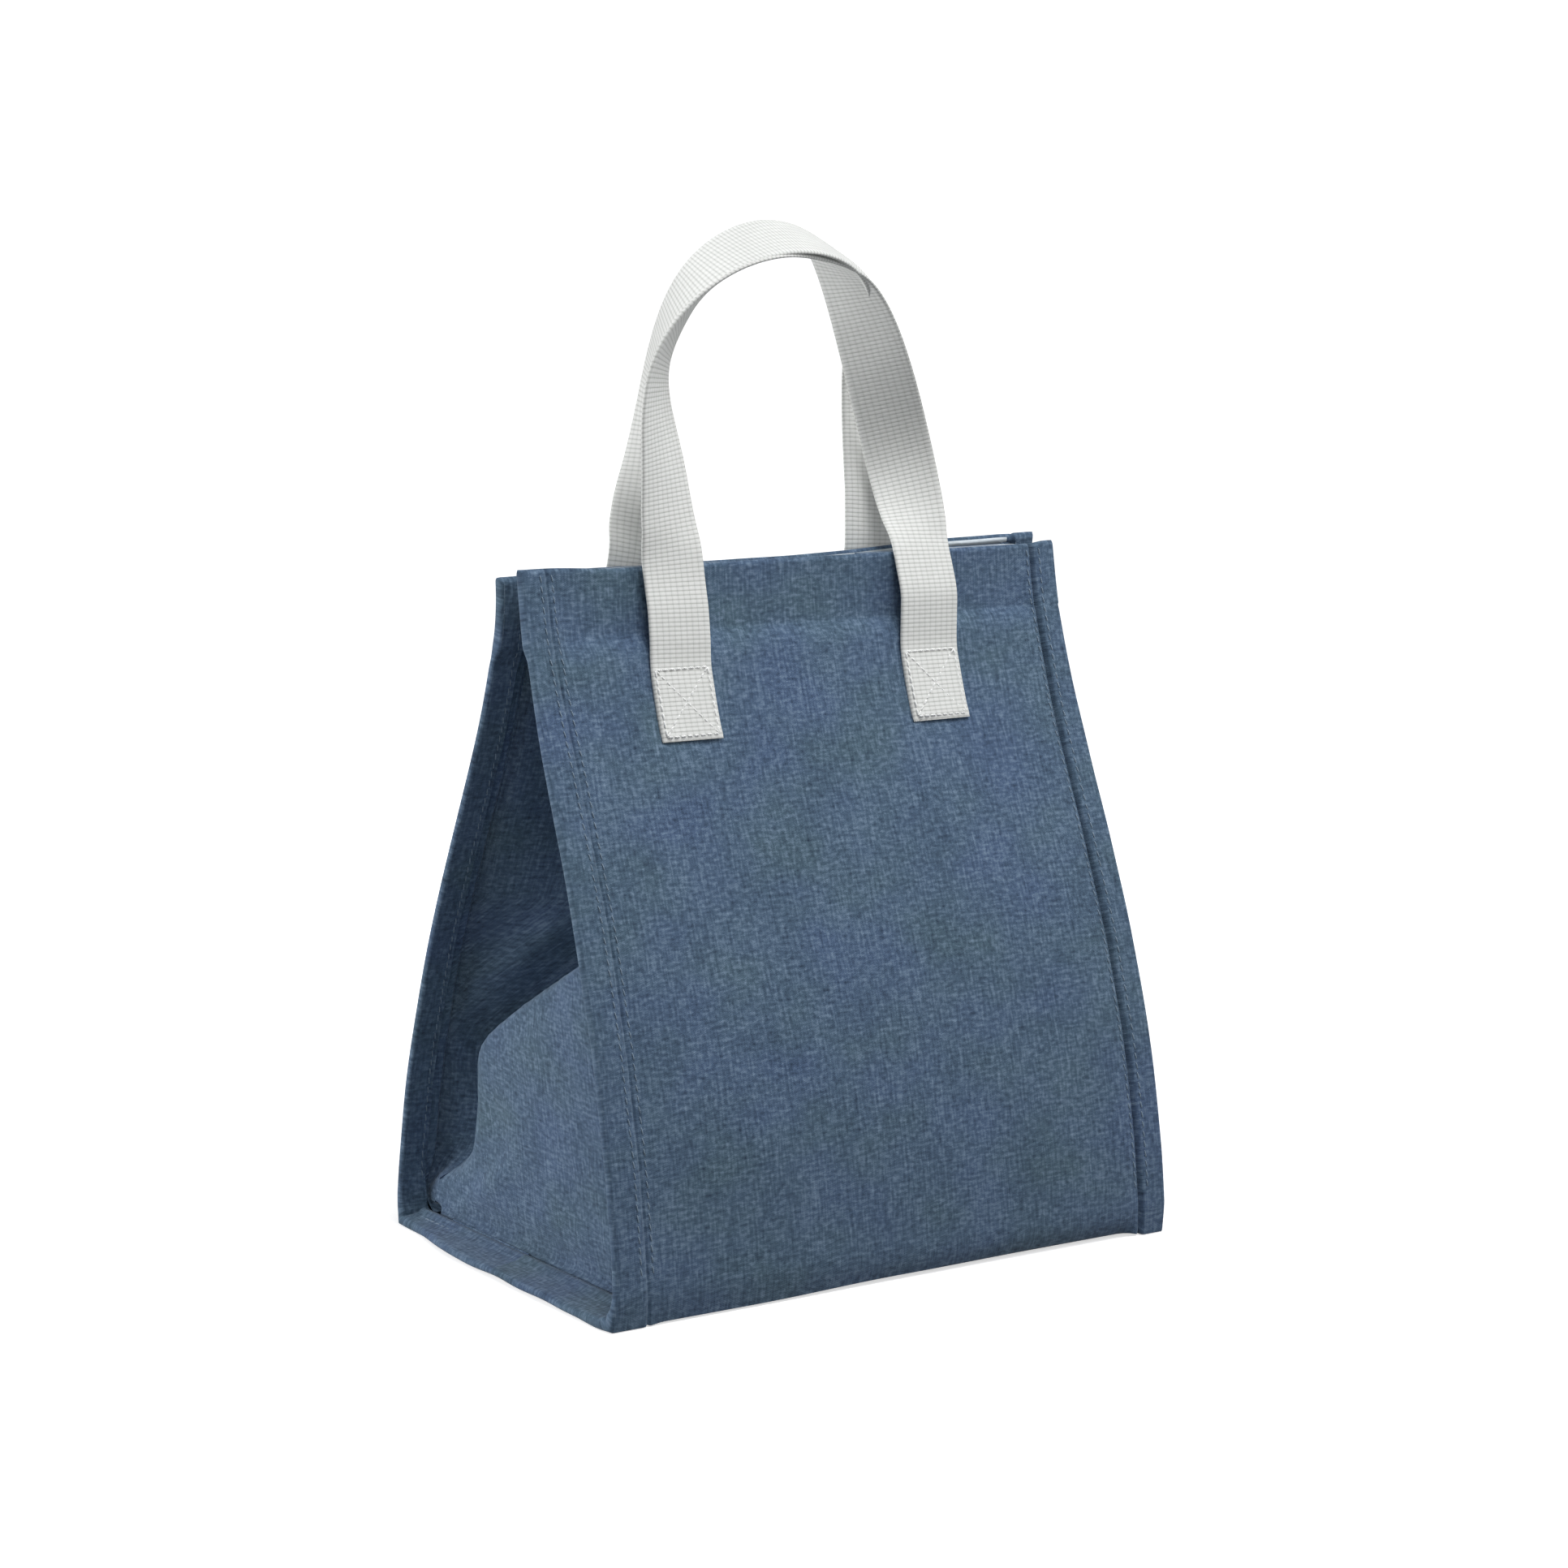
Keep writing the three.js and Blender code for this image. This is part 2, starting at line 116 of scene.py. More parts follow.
class BagColours(bpy.types.PropertyGroup):
    cloth_dark: colour_setting("Cloth dark yarn", "Darkest yarn of the cloth", 34, 48, 68)
    cloth_middle: colour_setting("Cloth middle yarn", "Main colour of the cloth", 79, 99, 128)
    cloth_faded: colour_setting("Cloth faded yarn", "Colour where the dye is thin", 79, 101, 117)
    cloth_light: colour_setting("Cloth light yarn", "Lightest yarn of the cloth", 128, 149, 172)
    webbing_light: colour_setting("Webbing", "Top of the ribs of the webbing", 230, 231, 229)
    # painted shade: the colour that the webbing takes in the grooves between its ribs and columns
    webbing_dark: colour_setting("Webbing grooves", "Between the webbing's ribs", 174, 176, 172)
    white_thread: colour_setting("White thread", "Stitches of the handles", 246, 247, 246)
    blue_thread: colour_setting("Blue thread", "Stitches of the seams", 118, 137, 156)
    foil: colour_setting("Foil lining", "Silver lining", 196, 205, 212)
    foam: colour_setting("Foam", "Insulating foam", 226, 228, 226)
    board: colour_setting("Board", "Stiffening board in the base", 150, 146, 136)
    strip: colour_setting("Closing strip", "Hook and loop strips inside the mouth", 56, 70, 88)
    floor: colour_setting("Floor", "Floor and background", 232, 232, 232)


def sizes():
    return bpy.context.scene.bag_sizes


def colours():
    return bpy.context.scene.bag_colours


# Curves and smooth steps

RIPPLE_WAVES = 9


def ease(low, high, value):
    """A smooth step from 0 at the low value to 1 at the high one."""
    share = np.clip((np.asarray(value, float) - low) / (high - low), 0, 1)
    return share * share * (3 - 2 * share)


def bell(centre, spread, value):
    """1 at the centre, sinking smoothly to 0 on both sides."""
    return np.exp(-(((np.asarray(value, float) - centre) / spread) ** 2))


def step(low, high, length):
    """The same smooth step over a length, between two lengths in millimetres."""
    return ease(low * MM, high * MM, length)


def hump(centre, spread_out, length):
    """The same bell over a length, with its centre and spread in millimetres."""
    return bell(centre * MM, spread_out * MM, length)


def round_off(past, reach, least=0.0004):
    """1 before an edge, sinking along a quarter of a circle over a reach."""
    return np.sqrt(np.clip(1 - np.clip(past / reach, 0, 1) ** 2, least, 1))


def unit(vectors):
    vectors = np.asarray(vectors, float)
    return vectors / np.maximum(np.linalg.norm(vectors, axis=-1, keepdims=True), 1e-12)


def line_travel(points):
    """Distance travelled at each point of a line."""
    steps = np.linalg.norm(np.diff(points, axis=0), axis=1)
    return np.concatenate([[0], np.cumsum(steps)])


def ripples(across, along, pitch, seed):
    """Smooth waves of about unit size, the same each time for one seed."""
    chance = np.random.default_rng(seed)
    total = np.zeros(np.broadcast(across, along).shape)
    for _ in range(RIPPLE_WAVES):
        angle = chance.uniform(0, 2 * math.pi)
        length = pitch * chance.uniform(0.7, 1.6)
        phase = chance.uniform(0, 2 * math.pi)
        run = across * math.cos(angle) + along * math.sin(angle)
        total += np.sin(2 * math.pi * run / length + phase)
    return total * math.sqrt(2 / RIPPLE_WAVES) / 2


def natural_spline(knots, shares):
    """A smooth curve through evenly spaced knots, straight at its ends."""
    knots = np.asarray(knots, float)
    count = len(knots)
    matrix = np.eye(count)
    right = np.zeros_like(knots)
    for row in range(1, count - 1):
        matrix[row, row - 1:row + 2] = (1, 4, 1)
        right[row] = 6 * (knots[row - 1] - 2 * knots[row] + knots[row + 1])
    bends = np.linalg.solve(matrix, right)
    place = np.asarray(shares, float) * (count - 1)
    left = np.minimum(place.astype(int), count - 2)
    after = (place - left)[:, None] if knots.ndim > 1 else place - left
    before = 1 - after
    straight = before * knots[left] + after * knots[left + 1]
    bent = (before ** 3 - before) * bends[left] + (after ** 3 - after) * bends[left + 1]
    return straight + bent / 6


def rounded_line(corners, radii, counts):
    """Points along a line with rounded corners, with a count for each straight run and rounding."""
    corners = np.asarray(corners, float)
    runs = np.diff(corners, axis=0)
    lengths = np.maximum(np.linalg.norm(runs, axis=1), 1e-9)
    points = []
    start = corners[0]
    for index in range(1, len(corners) - 1):
        corner = corners[index]
        reach = min(radii[index - 1], 0.45 * lengths[index - 1], 0.45 * lengths[index])
        arc_start = corner - runs[index - 1] / lengths[index - 1] * reach
        arc_end = corner + runs[index] / lengths[index] * reach
        for share in np.linspace(0, 1, counts[2 * index - 2], endpoint=False):
            points.append(start + (arc_start - start) * share)
        for share in np.linspace(0, 1, counts[2 * index - 1], endpoint=False):
            rest = 1 - share
            points.append(rest ** 2 * arc_start + 2 * share * rest * corner + share ** 2 * arc_end)
        start = arc_end
    for share in np.linspace(0, 1, counts[-1]):
        points.append(start + (corners[-1] - start) * share)
    return np.array(points)


# The skin of the bag, from the middle of the base, round the fold and up a wall

FLOOR_POINTS = 14
FOLD_POINTS = 9
WALL_POINTS = 160
WALL_FIRST = FLOOR_POINTS + FOLD_POINTS
FOOT_LEAN = math.radians(6)
FOOT_PULL = 130 * MM
RIM_LEAN = math.radians(8)
RIM_PULL = 90 * MM
RIM_NARROWING = 0.016

# Swells of the padded wall, with the widths and heights in millimetres over which each comes and goes
SOFT_SWELL, SOFT_PITCH = 0.9 * MM, 120 * MM
SOFT_LOW, SOFT_HIGH, SOFT_SIDE = (20, 70), (235, 275), (100, 119)
FINE_SWELL, FINE_PITCH = 0.22 * MM, 38 * MM
FINE_LOW = (16, 40)
LEFT_SWELL = 4.5 * MM
LEFT_SIDE, LEFT_HEIGHT = (10, 125), (188, 62)
FOOT_PINCH = 1.3 * MM
FOOT_START, FOOT_STOP, FOOT_SIDE = (203, 216), (234, 250), (10, 24)

# How far the rim rises at its corners
FRONT_RISES = ((1.5 * MM, (84, 120)), (0.9 * MM, (118, 127)))
BACK_TILT = 2.4 * MM / 0.13
BACK_RISE, BACK_DIP = 0.9 * MM, 0.8 * MM
RIM_DROP = 0.4 * MM
RIM_ZONE = 36 * MM


def skin_table():
    """Depth, height and outward direction along half of the skin, by distance travelled."""
    bag = sizes()
    radius = bag.fold_radius
    floor_end = bag.half_depth - radius
    turns = np.linspace(0, math.pi / 2, FOLD_POINTS + 1)[1:]
    foot = np.array([bag.half_depth, bag.fold_height])
    rim = np.array([bag.mouth_half_depth, bag.rim_height])
    foot_pull = foot + FOOT_PULL * np.array([-math.sin(FOOT_LEAN), math.cos(FOOT_LEAN)])
    rim_pull = rim + RIM_PULL * np.array([math.sin(RIM_LEAN), -math.cos(RIM_LEAN)])
    after = np.linspace(0, 1, WALL_POINTS)[:, None]
    before = 1 - after
    wall = (
        before ** 3 * foot
        + 3 * after * before ** 2 * foot_pull
        + 3 * after ** 2 * before * rim_pull
        + after ** 3 * rim
    )
    base = np.linspace(0, floor_end, FLOOR_POINTS)
    depths = np.concatenate([base, floor_end + radius * np.sin(turns), wall[:, 0]])
    heights = np.concatenate([0 * base, radius - radius * np.cos(turns), wall[:, 1]])
    travel = line_travel(np.stack([depths, heights], axis=1))
    slope = unit(np.stack([np.gradient(depths, travel), np.gradient(heights, travel)], axis=1))
    return {
        "travel": travel,
        "depth": depths,
        "height": heights,
        "out_depth": slope[:, 1],
        "out_height": -slope[:, 0],
        "floor_end": floor_end,
        "fold_end": travel[WALL_FIRST - 1],
        "wall_start": travel[WALL_FIRST],
        "end": travel[-1],
    }


def read_skin(table, travel, *columns):
    """Columns of the skin's table at a distance travelled."""
    return [np.interp(travel, table["travel"], table[column]) for column in columns]


def travel_at(table, height):
    """Distance travelled along the skin at a height on the wall."""
    return np.interp(height, table["height"][WALL_FIRST:], table["travel"][WALL_FIRST:])


def wall_swell(wall, x, height):
    """How far the padded cloth of a wall stands out from its plain curve."""
    inner = 1 - step(*SOFT_SIDE, np.abs(x))
    open_wall = step(*SOFT_LOW, height) * (1 - step(*SOFT_HIGH, height))
    soft = SOFT_SWELL * ripples(x, height, SOFT_PITCH, 11 + wall)
    swell = soft * (0.35 + 0.65 * inner) * open_wall
    swell = swell + FINE_SWELL * ripples(x, height, FINE_PITCH, 31 + wall) * step(*FINE_LOW, height)
    if wall == FRONT:
        swell = swell + LEFT_SWELL * step(*LEFT_SIDE, -x) * hump(*LEFT_HEIGHT, height)
    at_feet = step(*FOOT_START, height) * (1 - step(*FOOT_STOP, height))
    for foot in FOOT_MIDDLES[wall]:
        swell = swell - FOOT_PINCH * (1 - step(*FOOT_SIDE, np.abs(x - foot * MM))) * at_feet
    return swell


def rim_wave(wall, x, height):
    """How far a wall rises above its even height: in front at its corners, behind to the right."""
    rim = sizes().rim_height
    near_rim = ease(rim - RIM_ZONE, rim, height)
    if wall == FRONT:
        (left, left_side), (right, right_side) = FRONT_RISES
        return (left * step(*left_side, -x) + right * step(*right_side, x) - RIM_DROP) * near_rim
    tilt = (BACK_TILT * x - RIM_DROP) * (height / rim) ** 2
    return tilt + (BACK_RISE * step(30, 85, x) - BACK_DIP * hump(10, 45, x)) * near_rim


def skin(table, wall, x, travel, lift):
    """The place on a wall's side of the bag at a width, a distance travelled and a lift."""
    x, travel, lift = np.broadcast_arrays(x, travel, lift)
    depth, height, out_depth, out_height = read_skin(
        table, travel, "depth", "height", "out_depth", "out_height"
    )
    total = lift + wall_swell(wall, x, height)
    narrow = 1 - RIM_NARROWING * ease(0.05, 1, height / sizes().rim_height)
    up = height + total * out_height + rim_wave(wall, x, height)
    return np.stack([x * narrow, wall * (depth + total * out_depth), up], axis=-1)


def wall_place(table, wall, x, height, lift):
    return skin(table, wall, x, travel_at(table, height), lift)


def skin_out(table, wall, travel):
    """The direction that points away from the skin at a distance travelled."""
    out_depth, out_height = read_skin(table, travel, "out_depth", "out_height")
    return unit(np.stack([0 * out_depth, wall * out_depth, out_height], axis=-1))


# Meshes

STITCH_SIDES = 6
STITCH_STATIONS = [
    (-0.5, 0.25, -0.9), (-0.42, 0.75, -0.2), (-0.2, 1, 0.3),
    (0.2, 1, 0.3), (0.42, 0.75, -0.2), (0.5, 0.25, -0.9),
]


def make_mesh(name, points, faces, finishes, places=None, face_finishes=None, sharp=40):
    """A shown mesh, with each point's place on the flat cloth, which the materials read."""
    points = np.reshape(points, (-1, 3))
    places = points if places is None else np.reshape(places, (-1, 3))
    mesh = bpy.data.meshes.new(name)
    mesh.from_pydata(points.tolist(), [], [tuple(map(int, face)) for face in faces])
    for finish_name in finishes:
        mesh.materials.append(finish(finish_name))
    if face_finishes is not None:
        mesh.polygons.foreach_set("material_index", np.asarray(face_finishes, np.int32))
    mesh.polygons.foreach_set("use_smooth", np.ones(len(faces), bool))
    attribute = mesh.attributes.new("cloth_place", "FLOAT_VECTOR", "POINT")
    attribute.data.foreach_set("vector", places.astype(np.float32).ravel())
    mesh.validate()
    mesh.update()
    mesh.set_sharp_from_angle(angle=math.radians(sharp))
    piece = bpy.data.objects.new(name, mesh)
    bpy.context.scene.collection.objects.link(piece)
    return piece


def quads(numbers, turned=False):
    """The faces between neighbours in a grid of point numbers."""
    corners = [numbers[:-1, :-1], numbers[:-1, 1:], numbers[1:, 1:], numbers[1:, :-1]]
    if turned:
        corners = [corners[0], *corners[:0:-1]]
    return np.stack(corners, axis=-1).reshape(-1, 4)


def tube(name, outer, inner, finishes, places, inner_finishes=0, sharp=40):
    """A closed sheet between two grids of points, as a solid with an edge all round."""
    rows, columns = outer.shape[:2]
    top, under = np.arange(2 * rows * columns).reshape(2, rows, columns)
    faces = np.concatenate([
        quads(top),
        quads(under, turned=True),
        quads(np.stack([top[:, 0], under[:, 0]])),
        quads(np.stack([top[:, -1], under[:, -1]]), turned=True),
        quads(np.stack([top[0], under[0]]), turned=True),
        quads(np.stack([top[-1], under[-1]])),
    ])
    cells = (rows - 1) * (columns - 1)
    marks = np.zeros(len(faces), int)
    marks[cells:2 * cells] = np.broadcast_to(inner_finishes, (rows - 1, columns - 1)).ravel()
    points = np.concatenate([outer.reshape(-1, 3), inner.reshape(-1, 3)])
    first, second, third, fourth = (points[faces[:, corner]] for corner in range(4))
    inside_out = np.sum(first * (np.cross(second, third) + np.cross(third, fourth))) < 0
    if inside_out:
        faces = faces[:, ::-1]
    both_places = np.concatenate([places.reshape(-1, 3)] * 2)
    return make_mesh(name, points, faces, finishes, both_places, marks, sharp)


def places_of(across, along):
    """Positions on the flat cloth from the distances across and along it."""
    across, along = np.broadcast_arrays(across, along)
    return np.stack([across, along, 0 * along], axis=-1)


def stitch_shape():
    """One stitch as rings of points: along, sideways and up, each for a stitch of unit size."""
    points = []
    for along, thick, rise in STITCH_STATIONS:
        for side in range(STITCH_SIDES):
            angle = 2 * math.pi * side / STITCH_SIDES
            points.append((along, thick * math.cos(angle), thick * math.sin(angle) + rise))
    rings = np.arange(len(points)).reshape(-1, STITCH_SIDES)
    closed = np.concatenate([rings, rings[:, :1]], axis=1)
    faces = [*quads(closed), rings[0, ::-1], rings[-1]]
    return np.array(points), faces


def stitches(name, rows, thread, radius, turn=0.0):
    """Many stitches as one mesh, each with its middle, direction along, direction out and length."""
    shape, shape_faces = stitch_shape()
    along_share, beside_share, out_share = np.split(shape, 3, axis=1)
    points = []
    places = []
    faces = []
    for number, (middle, along, out, length) in enumerate(rows):
        along = unit(along)
        out = unit(out - along * (out @ along))
        side = np.cross(out, along)
        run = unit(along * math.cos(turn) + side * math.sin(turn))
        beside = np.cross(out, run)
        thick = radius * (beside_share * beside + out_share * out)
        points.append(middle + length * along_share * run + thick)
        places.append(places_of(beside_share * radius, along_share * length)[:, 0])
        faces += [face + number * len(shape) for face in shape_faces]
    points = np.concatenate(points)
    return make_mesh(name, points, faces, [thread], np.concatenate(places), sharp=80)


def stitch_line(path, outs, length, gap):
    """Spreads stitches evenly along a line of points."""
    travel = line_travel(path)
    count = max(1, int(travel[-1] / (length + gap)))
    pitch = travel[-1] / count

    def at(distance, columns):
        return np.array([np.interp(distance, travel, columns[:, axis]) for axis in range(3)])

    rows = []
    for index in range(count):
        middle = (index + 0.5) * pitch
        along = at(middle + 0.1 * pitch, path) - at(middle - 0.1 * pitch, path)
        rows.append((at(middle, path), along, at(middle, outs), pitch - gap))
    return rows


def settle(piece, slot, *nodes):
    """Hides the frame's solids that a piece stands for. The piece and its material slot are not used.
    """
    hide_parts(*nodes)


# Materials

# Upright slubs, long slubs, level slubs, flecks and patches: millimetres across and along, and weight
CLOTH_YARNS = [
    ((1.05, 9), 0.5), ((1.4, 34), 0.22), ((5.5, 1.2), 0.6), ((1.9, 1.7), 0.6), ((26, 34), 0.2),
]
CLOTH_THREAD = 0.74
DYE_PATCH = (52, 38)
SHEEN_TINT = (0.72, 0.82, 0.92, 1)
WEBBING_THREADS = (2.75, 1.73)
TWIST_STEP = 0.5
FOIL_CRINKLE, FOIL_BEND, FOIL_FINE = 9, 14, 2.2
FOAM_CELL = 1.1
FUZZ = 0.35
TAPE_THREAD = 1.5


def new_material(name, colour, roughness, **settings):
    material = bpy.data.materials.new(name)
    material.use_nodes = True
    shader = material.node_tree.nodes["Principled BSDF"]
    shader.inputs["Base Color"].default_value = (*colour, 1)
    shader.inputs["Roughness"].default_value = roughness
    for socket, value in settings.items():
        shader.inputs[socket.replace("_", " ")].default_value = value
    material.diffuse_color = (*colour, 1)
    return material, shader


def add_node(owner, kind, inputs=None, **settings):
    """Adds a node to a material or a world. An input is a value or the socket that feeds it."""
    node = owner.node_tree.nodes.new(kind)
    for key, value in settings.items():
        setattr(node, key, value)
    for key, value in (inputs or {}).items():
        if isinstance(value, bpy.types.NodeSocket):
            owner.node_tree.links.new(value, node.inputs[key])
        else:
            node.inputs[key].default_value = value
    return node


def maths(owner, operation, first, second=0.0):
    return add_node(owner, "ShaderNodeMath", {0: first, 1: second}, operation=operation).outputs[0]


def move(material, operation, place, by):
    node = add_node(material, "ShaderNodeVectorMath", {0: place, 1: by}, operation=operation)
    return node.outputs[0]


def cloth_place(material, *steps):
    """Positions on the flat cloth, in steps of so many millimetres across, along and through it."""
    place = add_node(material, "ShaderNodeAttribute", attribute_name="cloth_place")
    scale = [1 / (length * MM) for length in steps] + [1.0] * (3 - len(steps))
    return move(material, "MULTIPLY", place.outputs["Vector"], scale)


def cloth_axes(material, *steps):
    """Positions across and along the flat cloth, as two signals."""
    parted = add_node(material, "ShaderNodeSeparateXYZ", {0: cloth_place(material, *steps)})
    return parted.outputs["X"], parted.outputs["Y"]


def noise_at(material, place, detail=2.0, roughness=0.5):
    settings = {"Vector": place, "Scale": 1.0, "Detail": detail, "Roughness": roughness}
    return add_node(material, "ShaderNodeTexNoise", settings).outputs["Fac"]


def noise(material, steps, detail=2.0, roughness=0.5):
    return noise_at(material, cloth_place(material, *steps), detail, roughness)


def cells(material, place):
    """Distance to the middle of the nearest of many irregular cells."""
    node = add_node(material, "ShaderNodeTexVoronoi", {"Vector": place, "Scale": 1.0})
    return node.outputs["Distance"]


def half_turns(material, place):
    """A wave that turns by half a circle in each step."""
    return maths(material, "SINE", maths(material, "MULTIPLY", place, math.pi))


def crowns(material, place):
    """A round crown on each step."""
    return maths(material, "ABSOLUTE", half_turns(material, place))


def plain_weave(material, pitch):
    """Crowns of crossing threads, each column moved by half a thread."""
    across, along = cloth_axes(material, pitch, pitch)
    odd = maths(material, "MODULO", maths(material, "FLOOR", across), 2.0)
    shifted = maths(material, "ADD", along, maths(material, "MULTIPLY", odd, 0.5))
    columns = maths(material, "POWER", crowns(material, across), 0.5)
    return maths(material, "MULTIPLY", columns, crowns(material, shifted))


def weighted(material, parts, base=0.5):
    """Adds up signals that vary round a half, each with its weight, on a base."""
    total = base
    for signal, weight in parts:
        inputs = {0: maths(material, "SUBTRACT", signal, 0.5), 1: weight, 2: total}
        total = add_node(material, "ShaderNodeMath", inputs, operation="MULTIPLY_ADD").outputs[0]
    return total


def ramp(material, signal, *stops):
    """Turns a signal into a colour by its stops."""
    node = add_node(material, "ShaderNodeValToRGB", {"Fac": signal})
    elements = node.color_ramp.elements
    while len(elements) < len(stops):
        elements.new(0.5)
    for element, (position, colour) in zip(elements, stops):
        element.position = position
        element.color = (*colour, 1)
    return node.outputs["Color"]


def darker(colour, share):
    return tuple(channel * share for channel in colour)


def dress(material, shader, colour, height, depth, strength):
    """Feeds the shader its colour and its relief, whose depth is in millimetres."""
    relief = {"Height": height, "Distance": depth * MM, "Strength": strength}
    bump = add_node(material, "ShaderNodeBump", relief)
    material.node_tree.links.new(colour, shader.inputs["Base Color"])
    material.node_tree.links.new(bump.outputs["Normal"], shader.inputs["Normal"])
    return material


def cloth_material(name):
    """Melange cloth: slubs along and across, flecks, and soft patches where the dye is thin."""
    tones = colours()
    material, shader = new_material(
        name, tones.cloth_middle, 0.93,
        Sheen_Weight=0.22, Sheen_Roughness=0.45, Sheen_Tint=SHEEN_TINT, Specular_IOR_Level=0.18,
    )
    yarns = [(noise(material, steps), weight) for steps, weight in CLOTH_YARNS]
    tone = weighted(material, yarns)
    blue, grey = (
        ramp(material, tone, (0.12, tones.cloth_dark), (0.5, middle), (0.88, tones.cloth_light))
        for middle in (tones.cloth_middle, tones.cloth_faded)
    )
    dye = {"Value": noise(material, DYE_PATCH, 3.0), "From Min": 0.33, "From Max": 0.67}
    share = add_node(material, "ShaderNodeMapRange", dye).outputs["Result"]
    mixed = add_node(material, "ShaderNodeMix", {0: share, 6: blue, 7: grey}, data_type="RGBA")
    weave = plain_weave(material, CLOTH_THREAD)
    upright, level = yarns[0][0], yarns[2][0]
    height = weighted(material, [(weave, 0.6), (upright, 0.5), (level, 0.45)])
    return dress(material, shader, mixed.outputs[2], height, 0.22, 0.55)


def webbing_material(name):
    """Flat woven webbing with raised ribs across it, with painted shade in the grooves between its
    ribs and columns.
    """
    tones = colours()
    material, shader = new_material(
        name, tones.webbing_light, 0.72, Sheen_Weight=0.12, Specular_IOR_Level=0.3
    )
    across, along = cloth_axes(material, *WEBBING_THREADS)
    columns = maths(material, "POWER", crowns(material, across), 0.4)
    ribs = maths(material, "POWER", crowns(material, along), 0.6)
    fibres = noise(material, (0.3, 1.6), 2.0, 0.6)
    wander = noise(material, (2.6, 1.9))
    patch = noise(material, (9, 14))
    parts = [(ribs, 0.55), (columns, 0.28), (fibres, 0.15), (wander, 0.2), (patch, 0.12)]
    tone = weighted(material, parts, 0.42)
    # painted shade: ribs and columns darken the colour in their grooves; fibres, wander and patches
    # vary it at random
    colour = ramp(material, tone, (0.1, tones.webbing_dark), (0.85, tones.webbing_light))
    height = weighted(material, [(ribs, 0.8), (columns, 0.5), (fibres, 0.2)])
    return dress(material, shader, colour, height, 0.22, 0.55)


def thread_material(name):
    """Twisted thread, in the colour that has the material's name, with painted shade where its twist
    sinks.
    """
    colour = getattr(colours(), name)
    material, shader = new_material(name, colour, 0.6, Sheen_Weight=0.1)
    across, along = cloth_axes(material, TWIST_STEP, TWIST_STEP)
    twist = half_turns(material, maths(material, "ADD", across, along))
    tone = weighted(material, [(twist, 0.12)], 0.6)
    # painted shade: the colour darkens where the twist sinks
    shade = ramp(material, tone, (0.3, darker(colour, 0.85)), (0.75, colour))
    return dress(material, shader, shade, twist, 0.08, 0.6)


def foil_material(name):
    """Silver lining film, crinkled."""
    foil = colours().foil
    material, shader = new_material(
        name, foil, 0.36, Metallic=0.35, Coat_Weight=0.15, Coat_Roughness=0.3
    )
    bent, fine = (noise(material, [length] * 3, 3.0, 0.6) for length in (FOIL_BEND, FOIL_FINE))
    facets = cells(material, move(material, "ADD", cloth_place(material, *[FOIL_CRINKLE] * 3), bent))
    tone = weighted(material, [(bent, 0.5), (fine, 0.3)], 0.6)
    shade = ramp(material, tone, (0.2, darker(foil, 0.72)), (0.8, foil))
    height = weighted(material, [(facets, 0.8), (fine, 0.25)])
    return dress(material, shader, shade, height, 0.7, 0.7)


def foam_material(name):
    """Closed cell foam."""
    foam = colours().foam
    material, shader = new_material(name, foam, 0.95, Subsurface_Weight=0.05)
    pores = cells(material, cloth_place(material, *[FOAM_CELL] * 3))
    shade = ramp(material, pores, (0.1, foam), (0.8, darker(foam, 0.8)))
    return dress(material, shader, shade, pores, 0.25, 0.7)


def board_material(name):
    """Pressed grey board with short fibres."""
    board = colours().board
    material, shader = new_material(name, board, 0.88)
    place = add_node(material, "ShaderNodeTexCoord").outputs["Object"]
    fibres = noise_at(material, move(material, "MULTIPLY", place, (600, 140, 600)), 4.0)
    shade = ramp(material, fibres, (0.3, darker(board, 0.6)), (0.65, board))
    return dress(material, shader, shade, fibres, 0.2, 0.5)


def strip_material(name):
    """Hook and loop tape with a fuzzy face, with painted shade in the hollows of its weave."""
    strip = colours().strip
    material, shader = new_material(name, strip, 0.95, Sheen_Weight=0.5, Sheen_Roughness=0.6)
    fuzz = noise(material, [FUZZ] * 3, 4.0, 0.7)
    tone = weighted(material, [(fuzz, 0.8), (plain_weave(material, TAPE_THREAD), 0.5)])
    # painted shade: the weave darkens the colour in its hollows; the fuzz varies it at random
    shade = ramp(material, tone, (0.25, darker(strip, 0.5)), (0.8, strip))
    return dress(material, shader, shade, tone, 0.5, 1.0)


def background_mix(owner, lit, shown):
    """Shows a background to the camera, gloss and glass, and a lit finish to all other rays."""
    rays = add_node(owner, "ShaderNodeLightPath").outputs
    seen = maths(owner, "MAXIMUM", rays["Is Camera Ray"], rays["Is Glossy Ray"])
    clear = maths(owner, "MAXIMUM", seen, rays["Is Transmission Ray"])
    inputs = {0: clear, 1: lit.outputs[0], 2: shown.outputs[0]}
    return add_node(owner, "ShaderNodeMixShader", inputs).outputs[0]


def floor_material(name):
    """Pale floor that keeps the shadow and is white where nothing shades it."""
    material = bpy.data.materials.new(name)
    material.use_nodes = True
    material.node_tree.nodes.clear()
    place = add_node(material, "ShaderNodeNewGeometry").outputs["Position"]
    away = add_node(material, "ShaderNodeVectorMath", {0: place}, operation="LENGTH").outputs["Value"]
    limits = {"Value": away, "From Min": 0.3, "From Max": 0.9, "To Min": 0.62, "To Max": 1.0}
    strength = add_node(material, "ShaderNodeMapRange", limits, interpolation_type="SMOOTHSTEP")
    glow = {"Color": (1, 1, 1, 1), "Strength": strength.outputs["Result"]}
    bright = add_node(material, "ShaderNodeEmission", glow).outputs[0]
    plain = add_node(material, "ShaderNodeBsdfDiffuse", {"Color": (*colours().floor, 1)}).outputs[0]
    shown = add_node(material, "ShaderNodeAddShader", {0: plain, 1: bright})
    lit = add_node(material, "ShaderNodeBsdfDiffuse", {"Color": (0.26, 0.26, 0.26, 1)})
    mixed = background_mix(material, lit, shown)
    add_node(material, "ShaderNodeOutputMaterial", {"Surface": mixed})
    return material


